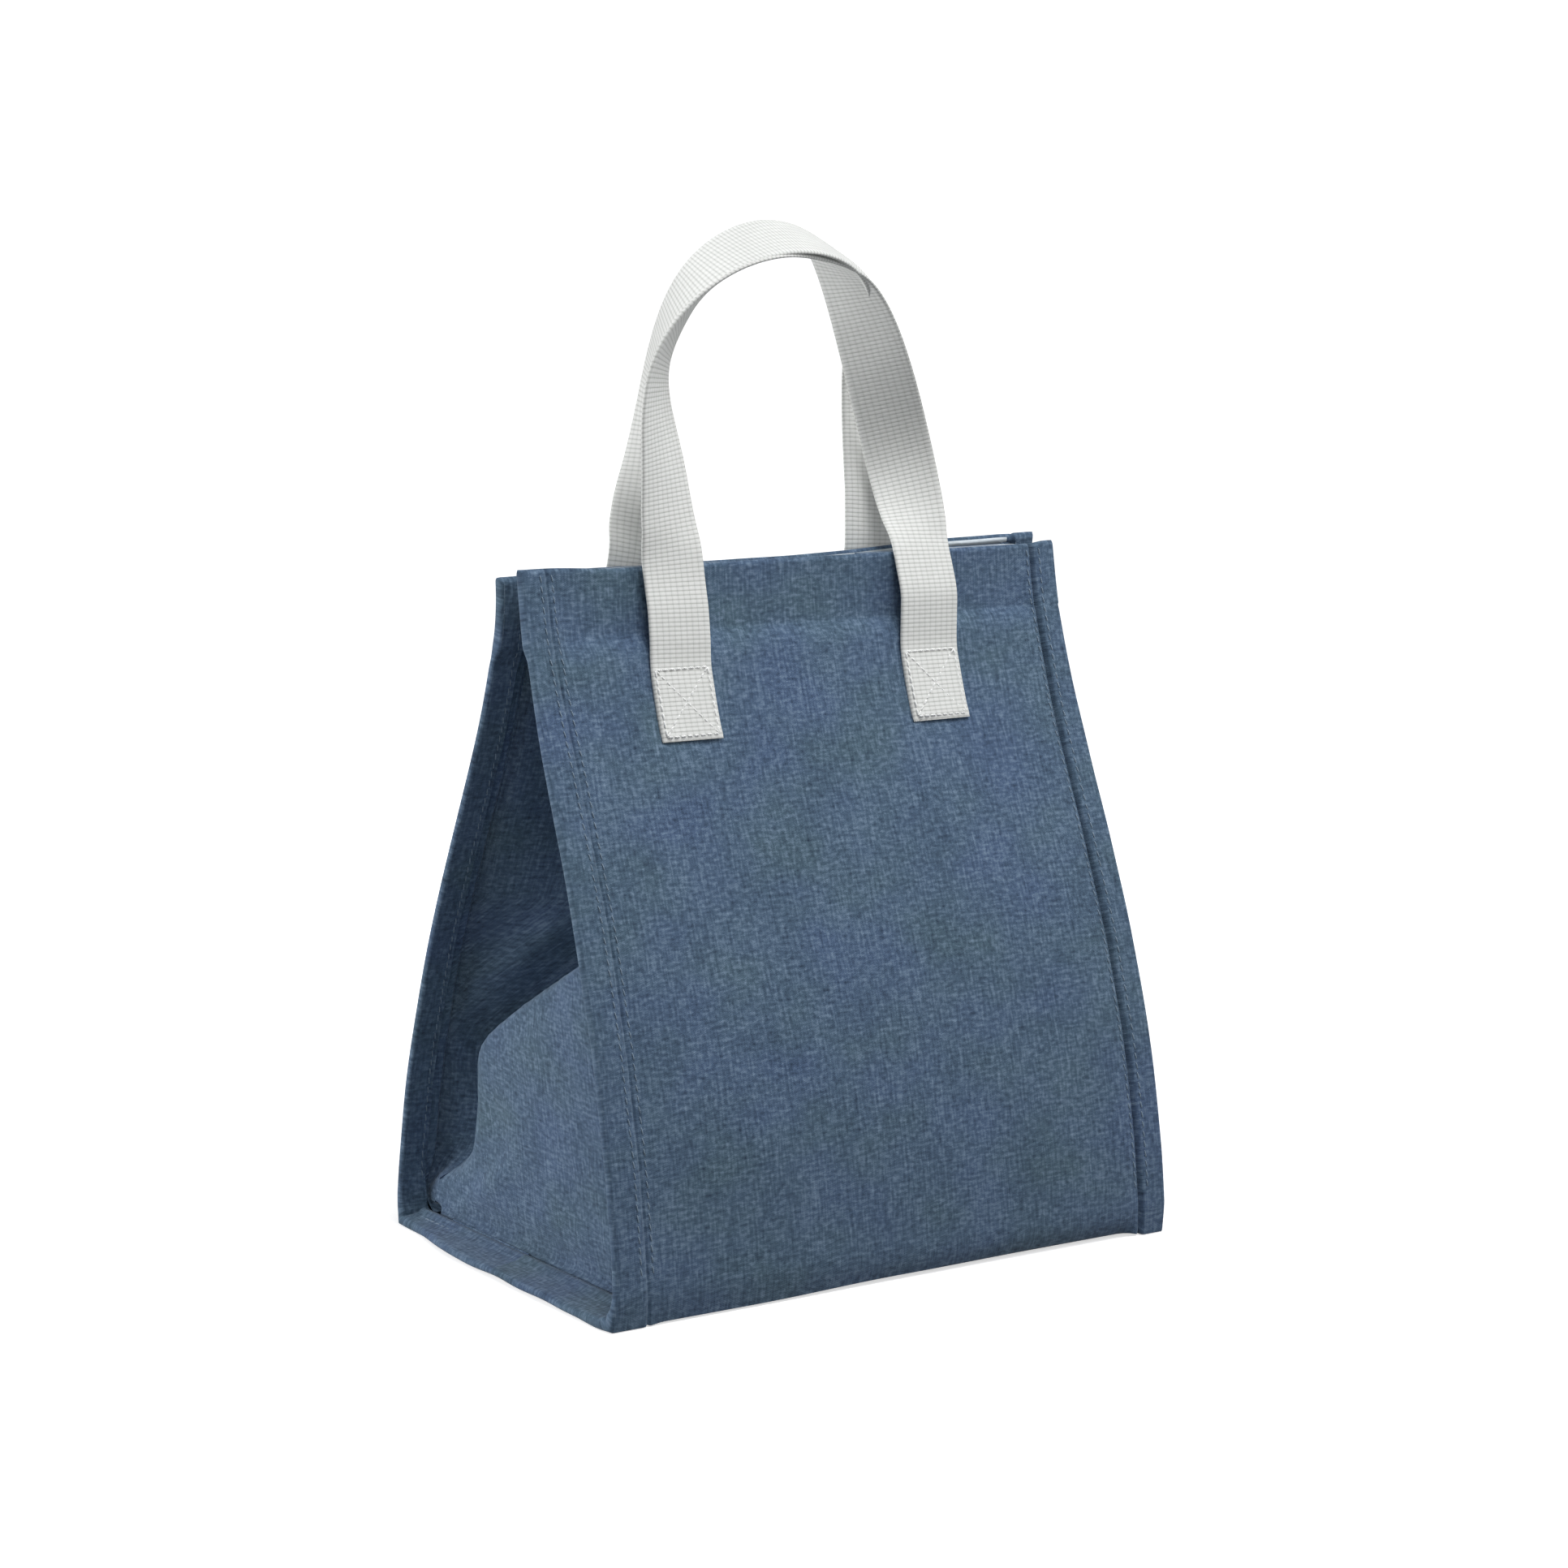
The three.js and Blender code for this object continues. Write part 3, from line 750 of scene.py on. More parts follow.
LINED_CLOTH = ["melange_cloth", "foil_lining"]
FINISHES = {
    "melange_cloth": cloth_material,
    "ribbed_webbing": webbing_material,
    "white_thread": thread_material,
    "blue_thread": thread_material,
    "foil_lining": foil_material,
    "padding_foam": foam_material,
    "pressed_board": board_material,
    "hook_and_loop": strip_material,
    "pale_floor": floor_material,
}


def finish(name):
    """A material by its name, made when it is first asked for."""
    return bpy.data.materials.get(name) or FINISHES[name](name)


# Outer cloth

LEFT_SPREAD = 6.5 * MM
BASE_RISE = 4 * MM
RISE_START = (-15, 0)
EDGE_SQUARENESS = 0.85
EDGE_WAVE, EDGE_WAVE_PITCH = 0.7 * MM, 42 * MM
GROOVE, GROOVE_PLACE = 2.6 * MM, (0.1, 0.6)
LEFT_CRISPNESS = 0.3
SHOULDER = 0.6 * MM
RAISED_EDGE = 0.5 * MM
EDGE_RIB = 1.2 * MM
CORNER_MITRE, MITRE_SPREAD = 1.4 * MM, 0.14
EDGE_ROUNDING = 1.4 * MM
RIM_ROUNDING = 2.2 * MM
RIM_FOLD = 1.2 * MM
HEM_RECESS = 3.2 * MM
HEM_STEP = 4.6 * MM
HEM_THICKNESS = 1.1 * MM
HEM_DOUBLING_LEFT, HEM_DOUBLING_RIGHT = 1.4 * MM, 0.7 * MM
BLOCK, BLOCK_NOTCH = 1.1 * MM, 1.0 * MM
EDGE_STEPS = [
    0, 0.1, 0.3, 0.7, 1.2, 1.9, 3.2, 4.8, 6.4, 7.8, 8.6, 9.2, 9.8,
    10.2, 10.5, 10.8, 11.2, 11.6, 12.2, 13, 14.2, 16, 18.5, 22, 26,
]
HEM_STEPS = [-1.6, -0.6, -0.1, 0.4, 1.2, 3]
RIM_STEPS = [-4.1, -3.2, -2.4, -1.9, -1.4, -1.0, -0.6, -0.3, -0.1, 0]


def fold_angle(table, travel):
    """Angle turned on the way from the base to a wall."""
    share = (travel - table["floor_end"]) / (table["fold_end"] - table["floor_end"])
    return np.clip(share, 0, 1) * math.pi / 2


def corner_push(table, x, travel):
    """How far the fold under a wall stands out from a round arc, most at the sewn edges."""
    bag = sizes()
    angle = fold_angle(table, travel)
    square = 1 / np.maximum(np.cos(angle), np.sin(angle)) - 1
    plain = 0.35 + 0.3 * step(0, 70, -x) - 0.2 * step(10, 70, x)
    at_edge = step(-8, 1, np.abs(x) - bag.seam)
    return bag.fold_radius * square * (plain + (EDGE_SQUARENESS - plain) * at_edge)


def spread(table, wall, x, travel, height):
    """How much wider than its pattern a sewn edge lies. The left one is pressed flat on the floor."""
    bag = sizes()
    if wall == BACK:
        left = LEFT_SPREAD * (1 - step(30, 78, travel))
        right = 0 * travel
    else:
        up_wall = 1 - step(175, 290, height)
        on_floor = 1 - ease(table["floor_end"], table["wall_start"] + 6 * MM, travel)
        left = (3.6 + 3.4 * on_floor) * MM * up_wall
        left = LEFT_SPREAD + (left - LEFT_SPREAD) * step(0, 20, travel)
        right = 1.8 * MM * up_wall * step(20, 80, travel)
    return np.where(x < 0, left, right) * ease(bag.seam + 1.5 * MM, bag.half_width, np.abs(x))


def edge_columns():
    """Widths at which the skin's points lie, close together round the side seams."""
    bag = sizes()
    edge = bag.half_width - np.array(EDGE_STEPS) * MM
    middle = np.linspace(bag.half_width - 30 * MM, 0, 27)
    right = np.concatenate([edge, middle])[::-1]
    return np.concatenate([-right[:0:-1], right])


def hem_line(x):
    """Height of the lower edge of the hem, which sinks towards the left seam and wanders."""
    bag = sizes()
    tilt = (0.9 * x / bag.seam - 1.9) * MM - 4.6 * MM * step(92, 122, -x)
    return bag.rim_height - bag.hem_height + tilt + 0.5 * MM * ripples(x, 0 * x, 95 * MM, 5)


def hem_share(x, height):
    """0 on the padded wall and 1 on the flat hem."""
    line = hem_line(x)
    return ease(line - HEM_STEP, line + 0.5 * MM, height)


def up_hem(height):
    """0 at the lower edge of the hem and 1 at the rim."""
    bag = sizes()
    return np.clip((height - bag.rim_height + bag.hem_height) / bag.hem_height, 0, 1)


def hem_recess(x, height):
    """How far the hem lies behind the padded wall, less towards the rim."""
    return HEM_RECESS * hem_share(x, height) * (1 - 0.9 * up_hem(height))


def edge_doubling(wall, x, height):
    """How much thicker a sewn edge is where the hem folds over it, most at the back wall's left."""
    bag = sizes()
    away = np.abs(x)
    thicker = np.where(x < 0, HEM_DOUBLING_LEFT, HEM_DOUBLING_RIGHT)
    if wall == BACK:
        block = BLOCK * step(2, 4.5, away - bag.seam)
        notch = BLOCK_NOTCH * hump(-2.2, 0.5, away - bag.half_width)
        thicker = thicker + (block - notch) * (x < 0)
    return thicker * ease(hem_line(x), hem_line(x) + 0.8 * MM, height)


def skin_lifts(table, wall, x, travel, height):
    """How far the outer and inner faces of the cloth lie above the plain skin."""
    bag = sizes()
    away = np.abs(x)
    past_seam = away - bag.seam
    past_wall_start = travel - table["wall_start"]
    above_rim = height - bag.rim_height
    in_edge = away > bag.seam + 0.2 * MM
    across_edge = np.clip(past_seam / (bag.half_width - bag.seam), 0, 1)
    turn = step(-20, -3, travel - table["floor_end"])
    past_fold = ease(table["floor_end"], table["wall_start"] + 4 * MM, travel)
    hem = hem_share(x, height)

    wave = EDGE_WAVE * (1 + ripples(travel * wall, 0 * travel, EDGE_WAVE_PITCH, 8))
    rise_edge = BASE_RISE * (1 - across_edge) + wave * across_edge ** 2
    rise_panel = BASE_RISE * step(*RISE_START, past_seam)
    rise = np.where(away > bag.seam, rise_edge, rise_panel)
    crisp = np.where((x > 0) | (wall == BACK), 1.0, LEFT_CRISPNESS)
    groove = GROOVE * crisp * hump(*GROOVE_PLACE, past_seam)
    shoulder = SHOULDER * crisp * step(-8, 0, past_seam) * past_fold
    shoulder = shoulder * (away <= bag.seam + 0.1 * MM)
    raised = RAISED_EDGE * step(0.5, 2.5, past_seam) * past_fold
    clear = 1 - step(-7, -1, past_seam)
    recess = hem_recess(x, height) * clear + RAISED_EDGE * hem * (1 - clear)
    push = corner_push(table, x, travel)
    outer = -rise * (1 - turn) - groove - shoulder + raised - recess + push

    rib = EDGE_RIB * bell(0.22, 0.12, across_edge) * (1 - past_fold)
    tucked = rise * turn * (1 - step(-2, 14, past_wall_start))
    edge_thickness = bag.seam_edge + edge_doubling(wall, x, height) + tucked + rib
    rim_fold = RIM_FOLD * step(-3.9, -2.6, above_rim)
    thickness = np.where(in_edge, edge_thickness, bag.cloth + HEM_THICKNESS * hem + rim_fold)
    mitre = CORNER_MITRE * bell(math.pi / 4, MITRE_SPREAD, fold_angle(table, travel))
    mitre = mitre * step(2, 4, past_seam)
    inner = outer - push - thickness + mitre - np.where(in_edge, raised - groove, 0)

    middle = (outer + inner) / 2
    half = (outer - inner) / 2
    half = half * round_off(away - bag.half_width + EDGE_ROUNDING, EDGE_ROUNDING)
    half = half * round_off(above_rim + RIM_ROUNDING, RIM_ROUNDING)
    return middle + half, middle - half


def outer_cloth(wall):
    """One length of cloth from the middle of the base, round the fold and up a wall."""
    bag = sizes()
    table = skin_table()
    name = WALL_NAMES[wall]
    hem_start = bag.rim_height - bag.hem_height
    hem_travel = float(travel_at(table, hem_start))
    end = table["end"]
    stations = np.concatenate([
        np.linspace(0, table["floor_end"] - 3 * MM, 16),
        np.linspace(table["floor_end"], table["wall_start"] + 3 * MM, 26),
        np.linspace(table["wall_start"] + 7 * MM, hem_travel - 4 * MM, 52),
        hem_travel + np.array(HEM_STEPS) * MM,
        np.linspace(hem_travel + 6 * MM, end - 5 * MM, 6),
        end + np.array(RIM_STEPS) * MM,
    ])
    x, travel = np.meshgrid(edge_columns(), stations)
    height, = read_skin(table, travel, "height")
    lift_out, lift_in = skin_lifts(table, wall, x, travel, height)
    wider = np.where((x < 0) & (wall == BACK), 0.4 + 2.2 * up_hem(height) ** 1.5, 0.6) * MM
    more = wider * (height > hem_line(x)) * ease(bag.seam + 3 * MM, bag.half_width, np.abs(x))
    x = x + np.sign(x) * (more + spread(table, wall, x, travel, height))
    outer = skin(table, wall, x, travel, lift_out)
    inner = skin(table, wall, x, travel, lift_in)
    middle_x = np.abs((x[:-1, :-1] + x[1:, 1:]) / 2)
    in_hem = (height[:-1, :-1] > hem_start) & (height[1:, 1:] < bag.rim_height - 0.9 * MM)
    lined = in_hem & (middle_x < bag.seam - 4 * MM)
    places = places_of(x, travel + (0.5 if wall == BACK else 0))
    piece = tube(f"{name}_outer_cloth", outer, inner, LINED_CLOTH, places, lined)
    nodes = [f"{name}_panel", f"{name}_fin_left", f"{name}_fin_right", f"{name}_hem_facing"]
    if wall == FRONT:
        nodes += ["base_shell", "base_fin_left", "base_fin_right"]
    settle(piece, "fabric", *nodes)
    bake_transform(piece)


# Side gussets

FOLD_DEPTHS = [74, 64, 50, 44.5, 46.5, 44.5, 30, 10.5, -14.5, -36, -54]
FOLD_HEIGHTS = [6, 18, 35, 54, 69, 81, 92, 104, 118, 129.5, 139]
FOLD_TOP = 139 * MM
UNDERLAP = 7 * MM
GUSSET_FLOOR = 6.2 * MM
GUSSET_THICKNESS = 1.4 * MM
GUSSET_TUCK = 2.4 * MM
HEM_TUCK = 1.2 * MM
LOOSE_CLOTH = 10 * MM
LOOSE_LOW, LOOSE_HIGH = (16, 34), (42, 100)
SEWN_END = 10 * MM
THINNED = 0.75
FRONT_ROOT = np.array([-4.6, 6.2]) * MM
SIDE_BULGE = 2.6 * MM
SLANTED_FOLD = 1.3 * MM
BORDER = 14
COARSE_WRINKLE, FINE_WRINKLE = 0.5 * MM, 0.22 * MM
BACK_SEAM = [(-7.6, -6.4), (-5.8, -2.2), (-4.7, 0.6), (-3.4, -0.9)]
FLAT_POINTS = 48
FLAT_END = 26


def fold_line(height):
    """Depth of the line on which a side gusset folds inwards, by height."""
    fine = np.linspace(0, 1, 80)
    depths = natural_spline(FOLD_DEPTHS, fine)
    heights = natural_spline(FOLD_HEIGHTS, fine)
    return float(np.interp(height, heights * MM, depths * MM))


def gusset_section(table, side, height):
    """The plan of a side gusset at a height, from the front seam over the fold to the back seam."""
    bag = sizes()
    edge = side * (bag.seam + 0.1 * MM)
    back_lift = -GUSSET_TUCK - HEM_TUCK * float(hem_share(edge, height))
    front_tuck = wall_place(table, FRONT, edge, height, -GUSSET_TUCK)
    back_tuck = wall_place(table, BACK, edge, height, back_lift)
    front_depth = -front_tuck[1]
    back_depth = back_tuck[1]
    plane = (bag.seam - 0.6 * MM) * abs(front_tuck[0]) / (bag.seam + 0.1 * MM)
    radius = bag.fold_radius
    if height < GUSSET_FLOOR + radius:
        drop = radius - (height - GUSSET_FLOOR)
        corner = bag.half_depth - radius - 3 * MM + math.sqrt(max(radius ** 2 - drop ** 2, 0))
        front_depth = min(front_depth, corner)
        back_depth = min(back_depth, corner)
    ridge = fold_line(height) if height < FOLD_TOP else -front_depth
    ridge = min(max(ridge, -front_depth), back_depth - 1 * MM)
    span = (back_depth - ridge) / 2
    loose = float(step(*LOOSE_LOW, height) - step(*LOOSE_HIGH, height))
    cloth_width = bag.gusset_cloth + LOOSE_CLOTH * loose
    leg = max(span + 1e-6, (cloth_width - front_depth - ridge) / 2)
    reach = math.sqrt(max(leg ** 2 - span ** 2, 0))
    low_turn = 0.1 + 0.9 * float(ease(GUSSET_FLOOR + 6 * MM, 30 * MM, height))
    high_turn = float(step(0, 22, height - FOLD_TOP))
    crease = np.array([plane - reach, back_depth - span])
    front = np.array([plane, -front_depth])
    back = np.array([plane, back_depth])
    straight_root = front + (crease - front) * 0.06
    turned_root = front + FRONT_ROOT
    return {
        "front": front,
        "ridge": np.array([plane, ridge]),
        "crease": crease,
        "front_root": straight_root + (turned_root - straight_root) * high_turn,
        "height": height,
        "back_seam": [back + np.array(step) * MM * low_turn for step in BACK_SEAM] + [back],
    }


def low_line(section):
    """The lower part of a gusset at a height: flat, round the fold line and in to the crease."""
    height = section["height"]
    turn_radius = (7 + 11 * (1 - float(step(66, 92, height)))) * MM
    corners = [section["front"], section["ridge"], section["crease"]]
    line = rounded_line(corners, [turn_radius], [FLAT_POINTS, 14, 14])
    travel = line_travel(line)
    to_fold = travel[FLAT_POINTS] - travel
    bulge = SIDE_BULGE * step(0, 22, travel) * step(0, 20, height - GUSSET_FLOOR)
    bulge = bulge * step(0, 26, to_fold) * (to_fold >= 0)
    bulge = bulge * (1 - step(-34, -1, height - FOLD_TOP))
    slanted = hump(0, 6, height - 35 * MM + 0.55 * (line[:, 1] - 18 * MM))
    slanted = slanted * step(4, 20, line[:, 1]) * step(0, 14, to_fold)
    line[:, 0] += bulge + SLANTED_FOLD * slanted
    return line, travel


def back_line(section):
    """The back half of a gusset at a height, from the crease to its tucked seam."""
    radii = [4 * MM, 1 * MM, 0.3 * MM, 0.6 * MM]
    corners = [section["crease"], *section["back_seam"]]
    line = rounded_line(corners, radii, [26, 6, 4, 4, 3, 4, 3, 4, 4])
    return line, line_travel(line) + 0.3


def front_line(section):
    """The front half of a gusset at a height, from the seam to the crease."""
    corners = [section["front"], section["front_root"], section["crease"]]
    line = rounded_line(corners, [5 * MM], [5, 6, 26])
    return line, line_travel(line)


def soft_folds(depth, height, travel):
    """Soft folds of the back half: one along the fold line, a hollow beside it and wrinkles above."""
    fold = 3 * MM * bell(137 * MM - 1.1 * (depth - 26 * MM), 9 * MM, height)
    hollow = 2.5 * MM * hump(66, 9, depth) * hump(86, 24, height)
    wrinkles = 1.3 * MM * ripples(travel, 0.2 * height, 30 * MM, 77) * step(135, 165, height)
    return (fold - hollow + wrinkles) * (1 - step(245, 275, height))


def gusset_sheet(name, side, lines, heights, seed, folds=None, sewn_end=0.0):
    """A solid sheet, cloth outside and foil inside, from a line of plan points at each height."""
    plan = np.array([line for line, _ in lines])
    travel = np.array([distance for _, distance in lines])
    depth = plan[..., 1]
    height = np.broadcast_to(heights[:, None], depth.shape)
    grid = np.stack([-plan[..., 0], depth, height], axis=-1)
    away = unit(np.cross(np.gradient(grid, axis=0), np.gradient(grid, axis=1)))
    coarse = COARSE_WRINKLE * ripples(travel, height, 34 * MM, seed)
    ripple = coarse + FINE_WRINKLE * ripples(travel, height, 13 * MM, seed + 1)
    if folds:
        ripple = ripple + folds(depth, height, travel)
    to_end = travel[:, -1:] - travel
    border = np.minimum(step(0, BORDER, travel - travel[:, :1]), step(0, BORDER, to_end))
    border = border * step(0, 10, np.abs(height - FOLD_TOP))
    outer = grid + away * (ripple * border)[..., None]
    thin = THINNED * (1 - step(0, 4, to_end - sewn_end)) * (sewn_end > 0)
    inner = outer - away * (GUSSET_THICKNESS * (1 - thin))[..., None]
    for layer in (outer, inner):
        layer[..., 0] *= -side
    lined = to_end[:-1, :-1] > sewn_end
    places = places_of(travel, height)
    return tube(name, outer, inner, LINED_CLOTH, places, lined)


def side_gusset(side):
    """A gusset in four sheets: flat part, part turned over the fold line, back and front half."""
    table = skin_table()
    label = SIDE_NAMES[side]
    top = sizes().rim_height - 1.2 * MM

    def lines_at(heights, draw):
        return [draw(gusset_section(table, side, height)) for height in heights.tolist()]

    low_steps = GUSSET_FLOOR + np.array([0, 0.3, 1, 2, 3.4, 5, 7, 9]) * MM
    heights = np.concatenate([low_steps, np.linspace(18 * MM, FOLD_TOP - 1 * MM, 44)])
    lines = lines_at(heights, low_line)
    flat_part = [(line[:FLAT_END + 1], travel[:FLAT_END + 1]) for line, travel in lines]
    flat = gusset_sheet(f"gusset_front_panel_{label}", side, flat_part, heights, 50 + side)
    settle(flat, "fabric", f"gusset_lower_{label}")
    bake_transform(flat)
    turned_part = [(line[FLAT_END:], travel[FLAT_END:]) for line, travel in lines]
    turned = gusset_sheet(f"gusset_fold_panel_{label}", side, turned_part, heights, 60 + side)
    settle(turned, "fabric", f"gusset_shelf_{label}")
    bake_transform(turned)

    low_steps = GUSSET_FLOOR + np.array([0.2, 1.2, 2.6, 4.4, 6.6, 9]) * MM
    heights = np.concatenate([low_steps, np.linspace(18 * MM, top, 70)])
    lines = lines_at(heights, back_line)
    back = gusset_sheet(
        f"gusset_back_half_{label}", side, lines, heights, 70 + side, soft_folds, SEWN_END
    )
    settle(back, "fabric", f"gusset_back_{label}")
    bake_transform(back)

    heights = np.linspace(FOLD_TOP - UNDERLAP, top, 48)
    lines = lines_at(heights, front_line)
    front = gusset_sheet(f"gusset_front_half_{label}", side, lines, heights, 80 + side)
    settle(front, "fabric", f"gusset_front_{label}")
    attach(front, f"front_{label}_gusset")


# Foam, lining and closing tapes

PADDING_INSET = 4.6 * MM
LAYER_TAPER = 0.07


def wall_sheet(name, wall, finish_name, reach, faces, crinkle=0.0, seed=1, points=(60, 70), taper=0):
    """A layer of a wall: its half width, its two edges and its faces' distances behind the skin."""
    table = skin_table()
    half_width, low, high = reach
    outer_lift, inner_lift = faces
    widths = np.linspace(-half_width, half_width, points[0])
    x, height = np.meshgrid(widths, np.linspace(low, high, points[1]))
    x = x * (1 - taper * step(-25, 0, height - high))
    coarse, fine = ripples(x, height, 22 * MM, seed), ripples(x, height, 9 * MM, seed + 1)
    wave = crinkle * (coarse + 0.6 * fine) * step(0, 6, half_width - np.abs(x))
    wave = wave * step(0, 5, height - low) * step(0, 5, high - height)
    recess = hem_recess(x, height)
    outer = wall_place(table, wall, x, height, -outer_lift - recess)
    inner = wall_place(table, wall, x, height, -inner_lift - recess - np.abs(wave))
    return tube(name, outer, inner, [finish_name], places_of(x, height))


def wall_layers(wall):
    """The foam and the foil lining of a wall."""
    bag = sizes()
    name = WALL_NAMES[wall]
    hem_start = bag.rim_height - bag.hem_height
    half_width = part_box(f"{name}_foam")[1].x - PADDING_INSET
    padding = wall_sheet(
        f"{name}_padding", wall, "padding_foam", (half_width, 17.5 * MM, hem_start - 3.5 * MM),
        (1.25 * MM, 5.3 * MM), points=(30, 90), taper=LAYER_TAPER,
    )
    settle(padding, "foam", f"{name}_foam")
    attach(padding, f"{name}_wall")
    lining = wall_sheet(
        f"{name}_foil", wall, "foil_lining", (half_width, 13.5 * MM, hem_start - 0.5 * MM),
        (5.6 * MM, 6.2 * MM), 0.35 * MM, 90 + wall, taper=LAYER_TAPER,
    )
    settle(lining, "lining", f"{name}_lining")
    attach(lining, f"{name}_wall")


def base_padding():
    """The foam under the board, which thins out where the base rises to its side seams."""
    bag = sizes()
    low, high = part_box("base_foam")
    x, y = np.meshgrid(np.linspace(low.x, high.x, 50), np.linspace(low.y, high.y, 34))
    rise = BASE_RISE * step(*RISE_START, np.abs(x) - bag.seam)
    top = np.stack([x, y, np.full(x.shape, high.z)], axis=-1)
    bottom = np.stack([x, y, np.minimum(low.z + rise, high.z - 0.6 * MM)], axis=-1)
    padding = tube("base_padding", top, bottom, ["padding_foam"], places_of(x, y))
    settle(padding, "foam", "base_foam")
    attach(padding, "base")


def base_trough():
    """The foil over the board, turned up at the front and the back."""
    low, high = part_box("base_lining")
    reach, floor, rim = high.y, low.z, high.z
    turn = rim - floor
    angles = np.linspace(0, math.pi / 2, 7)
    inwards = turn * 0.9 * (1 - np.cos(angles))
    heights = rim - turn * 0.9 * np.sin(angles)
    bottom = np.linspace(-reach + turn, reach - turn, 60)
    level = np.full(bottom.shape, floor + 0.6 * MM)
    depth_line = np.concatenate([[-reach], inwards - reach, bottom, (reach - inwards)[::-1], [reach]])
    height_line = np.concatenate([[rim], heights, level, heights[::-1], [rim]])
    x, index = np.meshgrid(np.linspace(low.x, high.x, 90), np.arange(len(depth_line)))
    depth = depth_line[index]
    height = height_line[index]
    wave = 0.5 * MM * ripples(x, depth, 26 * MM, 97) + 0.3 * MM * ripples(x, depth, 10 * MM, 98)
    wave = np.abs(wave) * step(0, 8, rim - height + 2 * MM)
    top = np.stack([x, depth * 0.995, height + wave + 0.1 * MM], axis=-1)
    under = np.stack([x, depth, np.maximum(height - 0.5 * MM, floor)], axis=-1)
    trough = tube("base_foil", top, under, ["foil_lining"], places_of(x, depth))
    settle(trough, "lining", "base_lining")
    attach(trough, "base")


def closing_strip(wall):
    """A strip of hook and loop tape inside the hem."""
    name = WALL_NAMES[wall]
    low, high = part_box(f"{name}_closure_strip")
    piece = wall_sheet(
        f"{name}_closing_tape", wall, "hook_and_loop", (high.x, low.z, high.z),
        (2.2 * MM, 3.3 * MM), 0.15 * MM, 110 + wall, (40, 16),
    )
    settle(piece, "closure_strip", f"{name}_closure_strip")
    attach(piece, f"{name}_wall")


# Handles

ROUTES = {
    FRONT: [
        (-62.1, -10.1, 277.8), (-65, -8.8, 318.4), (-65.6, -9, 356.9),
        (-40, -12.2, 389.3), (-5.8, -9.5, 402.6), (25.2, -1, 386.9),
        (43.5, 0.8, 351.1), (58.2, 3.9, 312.1), (60.1, -10.1, 275),
    ],
    BACK: [
        (-65.2, 9.4, 277.8), (-56.8, 11.4, 316.6), (-59.2, 7, 356.2),
        (-46.7, -9, 391.1), (-8.1, -11.2, 403.9), (30.5, 1.4, 390),
        (51.7, 18.6, 361.7), (53.3, 17.8, 319.6), (51.1, 9.6, 278.1),
    ],
}
TWISTS = {
    FRONT: [2, 24, 46, 76, 119, 81, 48, 28, 3],
    BACK: [0, 69, 114, 84, 65, 64, 11, -2, 0],
}
FOOT_MIDDLES = {FRONT: (-63.4, 59.2), BACK: (-66, 52)}
HEM_BOWS = (1.0, 2.4)
BOW_HEIGHT = (261, 10)
FOLDED_END, FOLDED_LIFT = (24, 29), 0.35 * MM
END_ROUNDING = 1.1 * MM
SIDE_FLAT = 0.94
LOOP_POINTS = 170
LEG_POINTS = 34
FOOT_LIFT = 1.25 * MM
BEND_END = 252 * MM
SOFTENINGS = 12
WEBBING_COLUMNS = [
    -1, -0.985, -0.94, -0.86, -0.72, -0.54, -0.36, -0.18, 0,
    0.18, 0.36, 0.54, 0.72, 0.86, 0.94, 0.985, 1,
]


def handle_centre_line(wall):
    """The middle of a handle from foot to foot over the loop, with its twist at each point."""
    bag = sizes()
    table = skin_table()
    shares = np.linspace(0, 1, LOOP_POINTS)
    loop = natural_spline(ROUTES[wall], shares) * MM
    turns = np.radians(natural_spline(TWISTS[wall], shares))
    heights = np.linspace(bag.foot_low, bag.rim_height - 1 * MM, LEG_POINTS)
    share = ease(0, 1, (heights - bag.foot_low) / (bag.rim_height - bag.foot_low))
    legs = []
    for foot, loop_end, hem_bow in zip(FOOT_MIDDLES[wall], (0, -1), HEM_BOWS):
        x = (foot + (ROUTES[wall][loop_end][0] - foot) * share) * MM
        bow = hem_bow * MM * hump(*BOW_HEIGHT, heights)
        lift = FOOT_LIFT + bow + 0.7 * MM * ease(bag.foot_high, BEND_END, heights)
        legs.append(wall_place(table, wall, x, heights, lift))
    first, last = legs[0], legs[1][::-1]
    fade_in = (1 - ease(0, 0.08, shares))[:, None]
    fade_out = ease(0.92, 1, shares)[:, None]
    loop = loop + fade_in * (first[-1] - loop[0]) + fade_out * (last[0] - loop[-1])
    centre = np.concatenate([first, loop[1:-1], last])
    turns = turns * ease(0, 0.05, shares) * (1 - ease(0.95, 1, shares))
    straight = np.zeros(LEG_POINTS)
    return smooth_meetings(centre), np.concatenate([straight, turns[1:-1], straight])


def smooth_meetings(centre):
    """Softens the places where the legs meet the loop."""
    smooth = centre.copy()
    inner = np.arange(1, len(smooth) - 1)
    weight = bell(LEG_POINTS, 5, inner) + bell(len(smooth) - LEG_POINTS, 5, inner)
    weight = 0.6 * np.clip(weight, 0, 1)[:, None]
    for _ in range(SOFTENINGS):
        middle = (smooth[:-2] + smooth[2:]) / 2
        smooth[1:-1] += (middle - smooth[1:-1]) * weight
    return smooth


def handle_directions(wall, centre, turning):
    """The direction across the webbing and the direction out of its face at each point."""
    along = unit(np.gradient(centre, axis=0))
    back = np.array([0, 1.0, 0])
    level = unit(back - along * (along @ back)[:, None])
    side = np.cross(along, level)
    across = unit(-side * np.cos(turning)[:, None] - wall * level * np.sin(turning)[:, None])
    return across, unit(np.cross(along, across))


